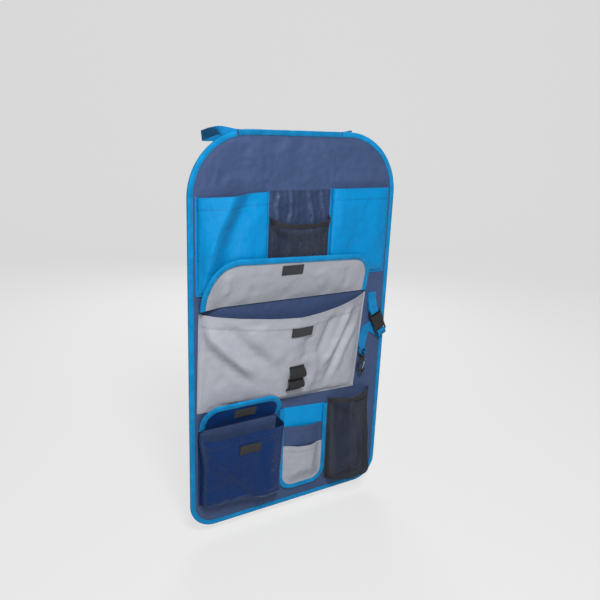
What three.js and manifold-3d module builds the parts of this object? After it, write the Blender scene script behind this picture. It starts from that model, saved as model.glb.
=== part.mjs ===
// Car organizer of cloth pockets that hangs behind a backrest by a strap round two posts.
// Millimetres, +Z up. The panel stands in the XZ plane, its rear face at y = 0, the pockets toward -Y.
import * as THREE from "three";
import { mergeVertices } from "three/addons/utils/BufferGeometryUtils.js";
import Module from "manifold-3d";

const wasm = await Module();
wasm.setup();

// Clearances and cloth
const GAP = 0.3;                 // between pieces that touch
const CURVE_GAP = 0.6;           // under trims that follow a curved pocket
const CLOTH = 1.0;               // pocket cloth with its coating
const TAPE = 1.0;                // edge tape
const WEBBING = 1.3;             // woven strap

// Back panel
const PANEL_WIDTH = 430;
const PANEL_HEIGHT = 740;
const PANEL_THICKNESS = 3;
const TOP_CORNER_RADIUS = 114;
const BOTTOM_CORNER_RADIUS = 50;
const TAPE_REACH = 9.5;          // how far the edge tape laps onto the cloth
const TOP_TAPE_LEFT = -125;      // ends of the separate length of tape over the top
const TOP_TAPE_RIGHT = 83;
const REAR_FIELD_INSET = 25;     // plain field of the back: from the panel's sides, foot and top
const REAR_FIELD_FOOT = 30;
const REAR_FIELD_HEAD = 120;

// Row of upper pockets
const ROW_TOP = 267;
const ROW_BOTTOM = 104;
const COLUMN_HALF_WIDTH = 64;
const ROW_POCKET_DEPTH = 11;
const ROW_INSET = 17;            // from the panel's side to the row's outer seams
const ROLL_INSET = 12;           // from the left pocket's outer seam to its soft roll
const ROLL_WIDTH = 12;
const ROLL_HEIGHT = 4;
const HOLLOW_INSET = 38;         // and to the hollow beside it
const HOLLOW_WIDTH = 9;
const ROW_LEFT_FOOT = [99, 5];   // height of its middle, and how far its right end lies above that
const ROW_LEFT_MOUTH = [262.8, 3.7];
const ROW_RIGHT_FOOT = [106, -1];
const ROW_RIGHT_MOUTH = [269.5, 0.3];
const COLUMN_GATHER = 1.2;
const SEAM_LAP = 4;              // seam allowance that lies on the panel
const NET_MOUTH = 222;
const NET_MOUTH_SAG = 13;
const NET_DEPTH = 24;
const ELASTIC_HEIGHT = 9;

// Main pocket with its flap
const MAIN_LEFT = -197.5;        // its sides at the foot and at the mouth
const MAIN_LEFT_TOP = -193;
const MAIN_RIGHT = 141;
const MAIN_RIGHT_TOP = 156;
const MAIN_BOTTOM = -130.5;
const MAIN_BOTTOM_TILT = -5;
const MAIN_MOUTH = 60.4;
const MAIN_MOUTH_TILT = 1.6;
const MAIN_MOUTH_SAG = 16;
const MAIN_DEPTH = 52;
const MAIN_ARCH = 1.5;
const MAIN_FOOT_DEPTH = 13;
const RIDGE_HEIGHT = 5;
const RIDGE_WIDTH = 13;
const FLAP_LEFT = -200;
const FLAP_RIGHT = 160;
const FLAP_FOLD = 67;
const FLAP_TOP = 149;
const FLAP_TOP_TILT = -6;
const FLAP_LEFT_RADIUS = 74;
const FLAP_RIGHT_RADIUS = 42;
const FLAP_LEAN_LEFT = 15;
const FLAP_LEAN_RIGHT = 13;
const FLAP_LEAN_MIDDLE = 7;      // more lean where it rests on the net pocket behind it
const FLAP_CROWN = 2;
const FLAP_CURL = 12;
const FLAP_TAPE_REACH = 9;
const PATCH_WIDTH = 44;
const PATCH_HEIGHT = 18;
const PATCH_THICKNESS = 1.6;
const MAIN_PATCH_CENTRE = [-12, 15];
const FLAP_PATCH_CENTRE = [-22, 127];
const LOOP_WIDTH = 32;
const LOOP_TOP = -57;
const LOOP_PITCH = 23;
const LOOP_RISE = 12;
const LOOP_SEAM = 4;

// Lower row
const LOWER_LEFT = -195.5;
const LOWER_RIGHT = -37;
const LOWER_BOTTOM = -321;
const LOWER_BOTTOM_TILT = -4;
const LOWER_MOUTH = -168.5;
const LOWER_MOUTH_TILT = -1.8;
const LOWER_DEPTH = 40;
const LOWER_FOOT_DEPTH = 24;
const LOWER_ARCH = 0.26;
const LOWER_FLAP_TOP = -112;
const LOWER_FLAP_FOLD = -163;
const LOWER_FLAP_LEAN = 22;
const LOWER_FLAP_RADIUS = 34;
const LOWER_PATCH_CENTRE = [-112, -201];
const TIER_LEFT = -30.5;
const TIER_RIGHT = 81;
const TIER_TOP = -160;
const TIER_BOTTOM = -340;
const TIER_REAR_MOUTH = -201;
const TIER_FRONT_MOUTH = -243.5;
const TIER_TILT = -4.5;          // how far the right end of its edges lies below the middle
const TIER_CORNER_RADIUS = 34;
const TIER_TAPE_REACH = 8.5;
const TIER_STEP = 5.5;           // how far each tier stands in front of the one behind
const TIER_SLOPE = 20;
const DRINK_LEFT = 86;
const DRINK_RIGHT = 183;
const DRINK_MOUTH = -152;
const DRINK_MOUTH_TILT = 3;
const DRINK_BOTTOM = -338;
const DRINK_HANG = 5;            // how far its foot hangs below its seam in front
const DRINK_DEPTH = 27.5;
const DRINK_FOOT_DEPTH = 50;
const DRINK_ARCH = 0.65;
const DRINK_ARCH_TOP = 1.4;

// Key leash on the strip beside the main pocket
const LEASH_X = 178;
const LEASH_TOP = 59;
const LEASH_WIDTH = 19;
const LEASH_SEAM = 12;           // length sewn to the panel
const LEASH_DROP = 33;           // from the sewn end to where the strap turns toward the buckle
const LEASH_RUN = 8;             // from that turn to the socket's bar
const LEASH_TILT = 26;           // degrees that the buckle hangs off the vertical
const FOLD_POINT = [168, -9];    // where the lower strap is folded over
const FOLD_TAIL = 9;             // lower strap beyond the plug's bar
const RING_JOIN = [157, -56];
const RING_WIDTH = 8;
const RING_HALF_WIDTH = 6.5;
const RING_HALF_HEIGHT = 8.5;
const RING_STAND = 4;            // how far the lower strap's end stands off the panel

// Side-release buckle
const BUCKLE_WIDTH = 27;
const BUCKLE_THICKNESS = 7.5;
const BAR_RADIUS = 1.5;
const SLOT_WIDTH = 22;
const SLOT_LENGTH = 5.5;
const SOCKET_LENGTH = 29;
const PLUG_BAR = 48;             // from the socket's bar to the plug's
const CAVITY_DEPTH = 18;
const CAVITY_HEIGHT = 3.6;
const CAVITY_WALL = 2.5;
const PLUG_THICKNESS = 3;
const WINDOW_FOOT = 5;
const WINDOW_HEIGHT = 9;

// Snap hook
const HOOK_WIDTH = 18;
const HOOK_THICKNESS = 5;
const HOOK_BAND = 3.5;           // width of its bent part
const HOOK_RING_LENGTH = 36;
const EYE_WIDTH = 12;
const EYE_HEIGHT = 9;
const EYE_THICKNESS = 3;
const STEM_RADIUS = 1.5;
const STEM_LENGTH = 4.6;
const HEAD_RADIUS = 2.6;
const HEAD_LENGTH = 1.6;
const GATE_LENGTH = 19;
const GATE_WIDTH = 2.8;
const GATE_THICKNESS = 2;
const PIN_RADIUS = 0.8;

// Strap round the posts
const STRAP_WIDTH = 16;
const STRAP_SEWN = 26;           // sewn length at each end
const STRAP_BULGE = 30;          // how far it swings out beside its sewn ends
const STRAP_REACH = 112;         // how far it stands behind the panel
const STRAP_CORNERS = [18, 40];
const STRAP_MIDDLE = 361;        // height of its middle where it is sewn
const STRAP_SIDE_LIFT = 5;
const STRAP_REAR_DROP = 8;
const STRAP_ROLL = 50;           // degrees that it leans over at the sides
const STRAP_LAP = 26;            // end that is turned back and sewn behind each buckle half

const panelFront = -PANEL_THICKNESS;
const layer = panelFront - GAP - CLOTH / 2;      // middle of cloth that lies on the panel
const degrees = Math.PI / 180;

const colours = {
  navy: 0x232f63, blue: 0x0a86d1, tape: 0x1f93d2, grey: 0xa9acb8, net: 0x2e3036, black: 0x17181b, steel: 0xb9bcc2,
};

function fabric(colour, roughness = 0.75) {
  return new THREE.MeshStandardMaterial({ color: colour, roughness, metalness: 0 });
}

function named(name, geometry, material) {
  const mesh = new THREE.Mesh(geometry, material);
  mesh.name = name;
  return mesh;
}

// Indexed geometry whose faces point out of the solid
function closedGeometry(points, faces) {
  let volume = 0;
  for (const [a, b, c] of faces) {
    volume += points[a].dot(new THREE.Vector3().crossVectors(points[b], points[c]));
  }
  const index = volume < 0 ? faces.flatMap(([a, b, c]) => [a, c, b]) : faces.flat();
  const geometry = new THREE.BufferGeometry();
  geometry.setAttribute("position", new THREE.Float32BufferAttribute(points.flatMap((p) => p.toArray()), 3));
  geometry.setIndex(index);
  geometry.computeVertexNormals();
  return geometry;
}

// A sheet of even thickness about the surface through a grid of points
function sheet(rows, thickness) {
  const height = rows.length;
  const width = rows[0].length;
  const at = (i, j) => rows[Math.min(Math.max(i, 0), height - 1)][Math.min(Math.max(j, 0), width - 1)];
  const front = [];
  const back = [];
  for (let i = 0; i < height; i++) {
    for (let j = 0; j < width; j++) {
      const along = at(i, j + 1).clone().sub(at(i, j - 1));
      const up = at(i + 1, j).clone().sub(at(i - 1, j));
      const normal = along.cross(up).normalize().multiplyScalar(thickness / 2);
      front.push(at(i, j).clone().add(normal));
      back.push(at(i, j).clone().sub(normal));
    }
  }
  const count = width * height;
  const faces = [];
  const quad = (a, b, c, d) => faces.push([a, b, c], [a, c, d]);
  for (let i = 0; i < height - 1; i++) {
    for (let j = 0; j < width - 1; j++) {
      const k = i * width + j;
      quad(k, k + 1, k + width + 1, k + width);
      quad(count + k, count + k + width, count + k + width + 1, count + k + 1);
    }
  }
  const rim = [];
  for (let j = 0; j < width - 1; j++) rim.push(j);
  for (let i = 0; i < height - 1; i++) rim.push(i * width + width - 1);
  for (let j = width - 1; j > 0; j--) rim.push((height - 1) * width + j);
  for (let i = height - 1; i > 0; i--) rim.push(i * width);
  rim.forEach((a, k) => {
    const b = rim[(k + 1) % rim.length];
    quad(b, a, count + a, count + b);
  });
  return closedGeometry([...front, ...back], faces);
}

// Like sections joined one after the other; the two end sections are capped
function loft(sections, profile) {
  const size = profile.length;
  const faces = [];
  for (let i = 0; i < sections.length - 1; i++) {
    for (let j = 0; j < size; j++) {
      const a = i * size + j;
      const b = i * size + ((j + 1) % size);
      faces.push([a, b, b + size], [a, b + size, a + size]);
    }
  }
  const last = (sections.length - 1) * size;
  const clockwise = THREE.ShapeUtils.isClockWise(profile);
  for (const [a, b, c] of THREE.ShapeUtils.triangulateShape(profile, [])) {
    const [p, q] = clockwise ? [c, a] : [a, c];
    faces.push([q, b, p], [last + p, last + b, last + q]);
  }
  return closedGeometry(sections.flat(), faces);
}

// Path through corner points with each corner rounded, as stations with the normal that points to its left
function roundedPath(corners, radii, arcStep = 14 * degrees) {
  const stations = [];
  const turn = (k) => {
    const before = corners[k].clone().sub(corners[k - 1]).normalize();
    const after = corners[k + 1].clone().sub(corners[k]).normalize();
    return { before, after, angle: Math.atan2(before.cross(after), before.dot(after)) };
  };
  const add = (point, direction) => {
    stations.push({ point, normal: new THREE.Vector2(-direction.y, direction.x) });
  };
  const first = corners[1].clone().sub(corners[0]).normalize();
  add(corners[0].clone(), first);
  for (let k = 1; k < corners.length - 1; k++) {
    const { before, angle } = turn(k);
    const setback = radii[k - 1] * Math.tan(Math.abs(angle) / 2);
    const start = corners[k].clone().addScaledVector(before, -setback);
    const side = new THREE.Vector2(-before.y, before.x).multiplyScalar(Math.sign(angle));
    const centre = start.clone().addScaledVector(side, radii[k - 1]);
    const steps = Math.max(2, Math.ceil(Math.abs(angle) / arcStep));
    for (let i = 0; i <= steps; i++) {
      const swing = (angle * i) / steps;
      const point = start.clone().rotateAround(centre, swing);
      add(point, before.clone().rotateAround(new THREE.Vector2(), swing));
    }
  }
  const end = corners.length - 1;
  add(corners[end].clone(), corners[end].clone().sub(corners[end - 1]).normalize());
  return stations;
}

// Point a set distance in front of the surface y = surface(x, z), square to it
function infront(surface, x, z, distance) {
  const step = 0.5;
  const slopeX = (surface(x + step, z) - surface(x - step, z)) / (2 * step);
  const slopeZ = (surface(x, z + step) - surface(x, z - step)) / (2 * step);
  const normal = new THREE.Vector3(slopeX, -1, slopeZ).normalize();
  return new THREE.Vector3(x, surface(x, z), z).addScaledVector(normal, distance);
}

// Tape folded round the edge of a sheet: surface(x, z) is the sheet's middle
function foldedTape(stations, surface, sheetThickness, reach, gap = GAP, tape = TAPE) {
  const inner = sheetThickness / 2 + gap;
  const outer = inner + tape;
  const profile = [
    [reach, outer], [-GAP - tape, outer], [-GAP - tape, -outer], [reach, -outer],
    [reach, -inner], [-GAP, -inner], [-GAP, inner], [reach, inner],
  ].map(([a, b]) => new THREE.Vector2(a, b));
  const sections = stations.map(({ point, normal }) => profile.map((p) => {
    const spot = point.clone().addScaledVector(normal, p.x);
    return infront(surface, spot.x, spot.y, p.y);
  }));
  return loft(sections, profile);
}

// Plate cut to an outline in the XZ plane; it grows from y = rear toward -Y
function plate(outline, thickness, rear, holes = []) {
  const shape = new THREE.Shape(THREE.ShapeUtils.isClockWise(outline) ? [...outline].reverse() : outline);
  shape.holes = holes.map((hole) => new THREE.Path(hole));
  const geometry = new THREE.ExtrudeGeometry(shape, { depth: thickness, bevelEnabled: false });
  geometry.rotateX(Math.PI / 2);
  geometry.translate(0, rear, 0);
  return geometry;
}

function roundedRectangle(left, right, bottom, top, radius) {
  const corners = [
    [(left + right) / 2, bottom], [right, bottom], [right, top], [left, top], [left, bottom],
    [(left + right) / 2, bottom],
  ].map(([x, z]) => new THREE.Vector2(x, z));
  return roundedPath(corners, [radius, radius, radius, radius], 22.5 * degrees).slice(0, -1).map((s) => s.point);
}

function solid(geometry) {
  const bare = geometry.clone();
  bare.deleteAttribute("normal");
  bare.deleteAttribute("uv");
  const merged = mergeVertices(bare, 1e-4);
  return new wasm.Manifold(new wasm.Mesh({
    numProp: 3,
    vertProperties: new Float32Array(merged.attributes.position.array),
    triVerts: new Uint32Array(merged.index.array),
  }));
}

function meshed(manifold) {
  const { vertProperties, triVerts } = manifold.getMesh();
  const geometry = new THREE.BufferGeometry();
  geometry.setAttribute("position", new THREE.BufferAttribute(new Float32Array(vertProperties), 3));
  geometry.setIndex(new THREE.BufferAttribute(new Uint32Array(triVerts), 1));
  geometry.computeVertexNormals();
  return geometry;
}

function block(x0, x1, y0, y1, z0, z1) {
  const geometry = new THREE.BoxGeometry(x1 - x0, y1 - y0, z1 - z0);
  geometry.translate((x0 + x1) / 2, (y0 + y1) / 2, (z0 + z1) / 2);
  return geometry;
}

// A pocket sewn down on both sides and along its foot, its cloth arched away from the panel.
// Its sides may slant, and its foot and mouth may rise from left to right.
class Pocket {
  constructor(size) {
    Object.assign(this, {
      base: layer, boxy: 0.5, sag: 0, mouthTilt: 0, footTilt: 0, hang: 0, footRound: 0.12, fold: () => 0, lap: SEAM_LAP,
    }, size);
    this.boxyTop ??= this.boxy;
    this.leftTop ??= this.left;
    this.rightTop ??= this.right;
  }

  // Sides of the pocket, and how square its arch is, at a share of the way up
  span(up) {
    const left = this.left + (this.leftTop - this.left) * up;
    const right = this.right + (this.rightTop - this.right) * up;
    const boxy = this.boxy + (this.boxyTop - this.boxy) * up;
    return { left, right, centre: (left + right) / 2, half: (right - left) / 2, boxy };
  }

  rounding(up) {
    return Math.sqrt(1 - (1 - Math.min(up / this.footRound, 1)) ** 2);
  }

  depth(up) {
    return (this.footDepth + (this.mouthDepth - this.footDepth) * up) * this.rounding(up);
  }

  point(angle, up) {
    const { centre, half, boxy } = this.span(up);
    const bulge = Math.sin(angle) ** boxy;
    const across = Math.sign(Math.cos(angle)) * Math.abs(Math.cos(angle)) ** boxy;
    const x = centre + half * across;
    const foot = this.foot + this.footTilt * across;
    const mouth = this.mouth + this.mouthTilt * across - this.sag * bulge;
    const z = foot + (mouth - foot) * up - this.hang * bulge * this.rounding(up) * (1 - up) ** 2;
    return new THREE.Vector3(x, this.base - (this.depth(up) + this.fold(x, z)) * bulge, z);
  }

  // Middle of the cloth in front of a place on the panel
  front(x, z) {
    let up = THREE.MathUtils.clamp((z - this.foot) / (this.mouth - this.foot), 0, 1);
    let bulge = 0;
    for (let turn = 0; turn < 5; turn++) {
      const { centre, half, boxy } = this.span(up);
      const across = THREE.MathUtils.clamp((x - centre) / half, -1, 1);
      bulge = Math.sin(Math.acos(Math.abs(across) ** (1 / boxy))) ** boxy;
      const foot = this.foot + this.footTilt * across;
      const mouth = this.mouth + this.mouthTilt * across - this.sag * bulge;
      up = THREE.MathUtils.clamp((z - foot) / (mouth - foot), 0, 1);
    }
    return this.base - (this.depth(up) + this.fold(x, z)) * bulge;
  }

  geometry(across, upward) {
    const rows = [];
    const row = (up, below) => {
      const { left, right } = this.span(up);
      const points = [];
      for (let j = 0; j <= across; j++) points.push(this.point(Math.PI * (1 - j / across), up));
      const side = (x, z) => new THREE.Vector3(x, this.base, z);
      const whole = [side(left - this.lap, points[0].z), ...points, side(right + this.lap, points[across].z)];
      whole.forEach((p) => { p.z -= below; });
      return whole;
    };
    rows.push(row(0, this.lap), row(0, 0));
    const roundRows = 3;
    for (let i = 1; i <= roundRows; i++) rows.push(row(this.footRound * (1 - Math.cos((i / roundRows) * Math.PI / 2)), 0));
    for (let i = 1; i <= upward; i++) rows.push(row(this.footRound + (1 - this.footRound) * (i / upward), 0));
    return sheet(rows, this.cloth ?? CLOTH);
  }
}

// Sheet laid on a pocket's front, its middle a set distance outside the cloth
function seated(pocket, left, right, bottom, top, thickness, across, upward, rise = () => 0) {
  const rows = [];
  for (let i = 0; i <= upward; i++) {
    const row = [];
    const z = bottom + ((top - bottom) * i) / upward;
    for (let j = 0; j <= across; j++) {
      const x = left + ((right - left) * j) / across;
      row.push(infront((a, b) => pocket.front(a, b), x, z, CLOTH / 2 + CURVE_GAP + thickness / 2 + rise(z)));
    }
    rows.push(row);
  }
  return sheet(rows, thickness);
}

// Elastic edge sewn round a pocket's mouth, in front of its cloth
function mouthElastic(pocket, height, thickness, across) {
  const rows = [];
  const netFace = (pocket.cloth ?? CLOTH) / 2 + CURVE_GAP + thickness / 2;
  for (const down of [height, height / 2, 0]) {
    const row = [];
    const up = 1 - down / (pocket.mouth - pocket.foot);
    for (let j = 1; j < across; j++) {
      const angle = Math.PI * (1 - j / across);
      const aside = pocket.point(angle + 0.02, up).sub(pocket.point(angle - 0.02, up));
      const outward = new THREE.Vector3(aside.y, -aside.x, 0).normalize();
      if (outward.y > 0) outward.negate();
      row.push(pocket.point(angle, up).addScaledVector(outward, netFace));
    }
    rows.push(row);
  }
  return sheet(rows, thickness);
}

// Back panel with its edge tape
const edgeInset = GAP + TAPE;
const panelHalfWidth = PANEL_WIDTH / 2 - edgeInset;
const panelHalfHeight = PANEL_HEIGHT / 2 - edgeInset;
const topRadius = TOP_CORNER_RADIUS - edgeInset;
const bottomRadius = BOTTOM_CORNER_RADIUS - edgeInset;

function panelOutline(startX, endX) {
  const w = panelHalfWidth;
  const h = panelHalfHeight;
  const corners = [[startX, h], [-w, h], [-w, -h], [w, -h], [w, h], [endX, h]];
  return roundedPath(corners.map(([x, z]) => new THREE.Vector2(x, z)),
    [topRadius, bottomRadius, bottomRadius, topRadius], 7.5 * degrees);
}

// Triangles of a flat outline, each counterclockwise in its plane
function lid(outline, holes = []) {
  const points = [outline, ...holes].flat();
  const area = ([a, b, c]) => points[b].clone().sub(points[a]).cross(points[c].clone().sub(points[a]));
  return THREE.ShapeUtils.triangulateShape(outline, holes).map((face) => (area(face) < 0 ? face.reverse() : face));
}

// The rear face's field, which lies against the backrest inside all tapes and seams, keeps edges of its own
function makePanel() {
  const outline = panelOutline(0, 0).slice(0, -1).map((s) => s.point);
  const count = outline.length;
  const right = PANEL_WIDTH / 2 - REAR_FIELD_INSET;
  const left = -right;
  const bottom = REAR_FIELD_FOOT - PANEL_HEIGHT / 2;
  const top = PANEL_HEIGHT / 2 - REAR_FIELD_HEAD;
  const field = [[left, bottom], [right, bottom], [right, top], [left, top]].map(([x, z]) => new THREE.Vector2(x, z));
  const points = [
    ...outline.map((p) => new THREE.Vector3(p.x, panelFront, p.y)),
    ...[...outline, ...field].map((p) => new THREE.Vector3(p.x, 0, p.y)),
  ];
  const corner = 2 * count;
  const faces = [
    ...lid(outline),
    ...lid(outline, [field]).map(([a, b, c]) => [count + c, count + b, count + a]),
    [corner, corner + 2, corner + 1], [corner, corner + 3, corner + 2],
  ];
  outline.forEach((_, i) => {
    const j = (i + 1) % count;
    faces.push([i, count + i, count + j], [i, count + j, j]);
  });
  return named("back_panel", closedGeometry(points, faces), fabric(colours.navy, 0.6));
}

// Height of the panel's upper edge at a place across it
function upperEdge(x) {
  const over = Math.max(Math.abs(x) - (panelHalfWidth - topRadius), 0);
  return panelHalfHeight - topRadius + Math.sqrt(topRadius ** 2 - over ** 2);
}

function edgeStation(x) {
  const over = Math.max(Math.abs(x) - (panelHalfWidth - topRadius), 0) * Math.sign(x);
  const normal = new THREE.Vector2(-over, -Math.sqrt(topRadius ** 2 - over ** 2)).normalize();
  return { point: new THREE.Vector2(x, upperEdge(x)), normal };
}

function makeEdgeTapes() {
  const middle = () => -PANEL_THICKNESS / 2;
  const clear = GAP / 2;
  const round = panelOutline(0, 0).slice(1, -1).filter(({ point }) => (
    point.y < 0 || point.x < TOP_TAPE_LEFT - 2 || point.x > TOP_TAPE_RIGHT + 2));
  const ring = [edgeStation(TOP_TAPE_LEFT - clear), ...round, edgeStation(TOP_TAPE_RIGHT + clear)];
  const straightEnd = panelHalfWidth - topRadius;
  const stops = [TOP_TAPE_LEFT + clear, (TOP_TAPE_LEFT - straightEnd) / 2, -straightEnd, TOP_TAPE_RIGHT - clear];
  const top = stops.map(edgeStation);
  return [
    named("edge_binding", foldedTape(ring, middle, PANEL_THICKNESS, TAPE_REACH - edgeInset), fabric(colours.tape, 0.6)),
    named("top_tape", foldedTape(top, middle, PANEL_THICKNESS, TAPE_REACH - edgeInset), fabric(colours.tape, 0.65)),
  ];
}

// Upper row
const rowEdge = PANEL_WIDTH / 2 - ROW_INSET;
const gatherPitch = COLUMN_HALF_WIDTH / 5;

function softFold(x, z, centre, width, height, low, high) {
  const along = THREE.MathUtils.smoothstep(z, low, (low + high) / 2) * (1 - THREE.MathUtils.smoothstep(z, (low + high) / 2, high));
  return height * Math.exp(-(((x - centre) / width) ** 2)) * along;
}

const rowPocketSize = { mouthDepth: ROW_POCKET_DEPTH, footDepth: 6, boxy: 0.45 };
const columnSide = COLUMN_HALF_WIDTH + GAP / 2 + SEAM_LAP;
const upperLeft = new Pocket({
  ...rowPocketSize, left: -rowEdge, right: -columnSide,
  foot: ROW_LEFT_FOOT[0], footTilt: ROW_LEFT_FOOT[1], mouth: ROW_LEFT_MOUTH[0], mouthTilt: ROW_LEFT_MOUTH[1],
  fold: (x, z) => softFold(x, z, ROLL_INSET - rowEdge, ROLL_WIDTH, ROLL_HEIGHT, ROW_BOTTOM, ROW_TOP)
    - softFold(x, z, HOLLOW_INSET - rowEdge, HOLLOW_WIDTH, ROLL_HEIGHT, ROW_BOTTOM, ROW_TOP),
});
const upperRight = new Pocket({
  ...rowPocketSize, left: columnSide, right: rowEdge,
  foot: ROW_RIGHT_FOOT[0], footTilt: ROW_RIGHT_FOOT[1], mouth: ROW_RIGHT_MOUTH[0], mouthTilt: ROW_RIGHT_MOUTH[1],
});

const netClear = COLUMN_GATHER + CLOTH / 2 + GAP + CLOTH / 2;
const upperNet = new Pocket({
  left: -COLUMN_HALF_WIDTH + SEAM_LAP, right: COLUMN_HALF_WIDTH - SEAM_LAP, foot: ROW_BOTTOM + SEAM_LAP,
  mouth: NET_MOUTH, sag: NET_MOUTH_SAG, mouthDepth: NET_DEPTH, footDepth: 6, boxy: 0.62, base: layer - netClear,
});

function makeUpperRow() {
  const rows = [ROW_BOTTOM, (ROW_BOTTOM + ROW_TOP) / 2, ROW_TOP].map((z) => {
    const row = [];
    for (let x = -COLUMN_HALF_WIDTH; x <= COLUMN_HALF_WIDTH + 0.01; x += gatherPitch / 2) {
      const gather = COLUMN_GATHER * Math.sin((Math.PI * (x + COLUMN_HALF_WIDTH)) / gatherPitch) ** 2;
      row.push(new THREE.Vector3(x, layer - gather, z));
    }
    return row;
  });
  return [
    named("upper_left_pocket", upperLeft.geometry(14, 6), fabric(colours.blue, 0.55)),
    named("upper_centre_panel", sheet(rows, CLOTH), fabric(colours.navy, 0.6)),
    named("upper_right_pocket", upperRight.geometry(14, 6), fabric(colours.blue, 0.55)),
    named("upper_net_pocket", upperNet.geometry(12, 6), fabric(colours.net, 0.8)),
    named("upper_net_elastic", mouthElastic(upperNet, ELASTIC_HEIGHT, CLOTH, 14), fabric(colours.black, 0.8)),
  ];
}

// Main pocket and flap
// Ridge that runs down from the pocket's upper left corner
function mainRidge(x, z) {
  const down = 30 - z;
  const line = -187 + 0.58 * down + 0.004 * down ** 2;
  return RIDGE_HEIGHT * Math.exp(-(((x - line) / RIDGE_WIDTH) ** 2)) * THREE.MathUtils.smoothstep(z, -105, -40);
}

const mainPocket = new Pocket({
  left: MAIN_LEFT, leftTop: MAIN_LEFT_TOP, right: MAIN_RIGHT, rightTop: MAIN_RIGHT_TOP,
  foot: MAIN_BOTTOM, footTilt: MAIN_BOTTOM_TILT, mouth: MAIN_MOUTH, mouthTilt: MAIN_MOUTH_TILT, sag: MAIN_MOUTH_SAG,
  mouthDepth: MAIN_DEPTH, footDepth: MAIN_FOOT_DEPTH, boxy: MAIN_ARCH, footRound: 0.06, fold: mainRidge,
});

// One over most of a flap's width, falling to nothing at its two ends
function flapMiddle(across) {
  return 1 - Math.min(Math.abs(2 * across - 1), 1) ** 4;
}

// Middle of a flap that stands up from its fold and leans out
function flapSurface(fold, top, left, right, leanLeft, leanRight, curl, curlWidth, leanMiddle = 0) {
  return (x, z) => {
    const up = Math.max(z - fold, 0) / (top - fold);
    const across = THREE.MathUtils.clamp((x - left) / (right - left), 0, 1);
    const ends = leanLeft + (leanRight - leanLeft) * across;
    const lean = (ends + leanMiddle * flapMiddle(across)) * up * (1.3 - 0.3 * up);
    const rolled = curl * (1 - THREE.MathUtils.smoothstep(x, left, left + curlWidth));
    return layer - TAPE - CURVE_GAP - lean - rolled;
  };
}

function flapOutline({ left, right, fold, top, tilt, radii }, inset) {
  const corners = [
    [right - inset, fold], [right - inset, top + tilt - inset], [left + inset, top - tilt - inset], [left + inset, fold],
  ];
  return roundedPath(corners.map(([x, z]) => new THREE.Vector2(x, z)), radii, 10 * degrees);
}

// Stations no further apart than a set length, raised toward the middle of the flap's top edge
function crowned(stations, { left, right, crown, spacing }) {
  const result = [];
  stations.forEach((station, k) => {
    if (k > 0) {
      const before = stations[k - 1];
      const parts = Math.max(1, Math.ceil(station.point.distanceTo(before.point) / spacing - 0.5));
      for (let i = 1; i < parts; i++) {
        result.push({
          point: before.point.clone().lerp(station.point, i / parts),
          normal: before.normal.clone().lerp(station.normal, i / parts).normalize(),
        });
      }
    }
    result.push({ point: station.point.clone(), normal: station.normal.clone() });
  });
  result.forEach(({ point }) => { point.y += crown * flapMiddle((point.x - left) / (right - left)); });
  return result;
}

// Height of a flap's outline at a place across it
function outlineHeight(stations, x) {
  for (let k = 1; k < stations.length; k++) {
    const a = stations[k - 1].point;
    const b = stations[k].point;
    if (x <= a.x && x >= b.x && a.x - b.x > 1e-6) return a.y + ((b.y - a.y) * (a.x - x)) / (a.x - b.x);
  }
  return x < 0 ? stations.at(-2).point.y : stations[1].point.y;
}

// Flap cloth: columns run from the fold up to the rounded outline
function flapGeometry(surface, size, stations, inset) {
  const left = size.left + inset;
  const right = size.right - inset;
  const xs = [];
  for (let j = 0; j <= size.across; j++) {
    const t = j / size.across;
    xs.push(left + (right - left) * (t - 0.09 * Math.sin(2 * Math.PI * t)));
  }
  const rows = [];
  for (let i = 0; i <= size.upward; i++) {
    rows.push(xs.map((x) => {
      const z = size.fold + (outlineHeight(stations, x) - size.fold) * (i / size.upward);
      return new THREE.Vector3(x, surface(x, z), z);
    }));
  }
  return sheet(rows, CLOTH);
}

function makeFlap(name, size, surface, material) {
  const outline = flapOutline(size, edgeInset);
  const stations = size.crown ? crowned(outline, size) : outline;
  return [
    named(name, flapGeometry(surface, size, stations, edgeInset), material),
    named(`${name}_binding`, foldedTape(stations, surface, CLOTH, FLAP_TAPE_REACH, CURVE_GAP), fabric(colours.tape, 0.6)),
  ];
}

const mainFlapSurface = flapSurface(FLAP_FOLD, FLAP_TOP, FLAP_LEFT, FLAP_RIGHT,
  FLAP_LEAN_LEFT, FLAP_LEAN_RIGHT, FLAP_CURL, 50, FLAP_LEAN_MIDDLE);

function patchOn(surface, [x, z], width, height) {
  const offset = CLOTH / 2 + CURVE_GAP + PATCH_THICKNESS / 2;
  const rows = [-height / 2, 0, height / 2].map((up) => (
    [-width / 2, -width / 4, 0, width / 4, width / 2].map((aside) => infront(surface, x + aside, z + up, offset))));
  return sheet(rows, PATCH_THICKNESS);
}

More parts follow.
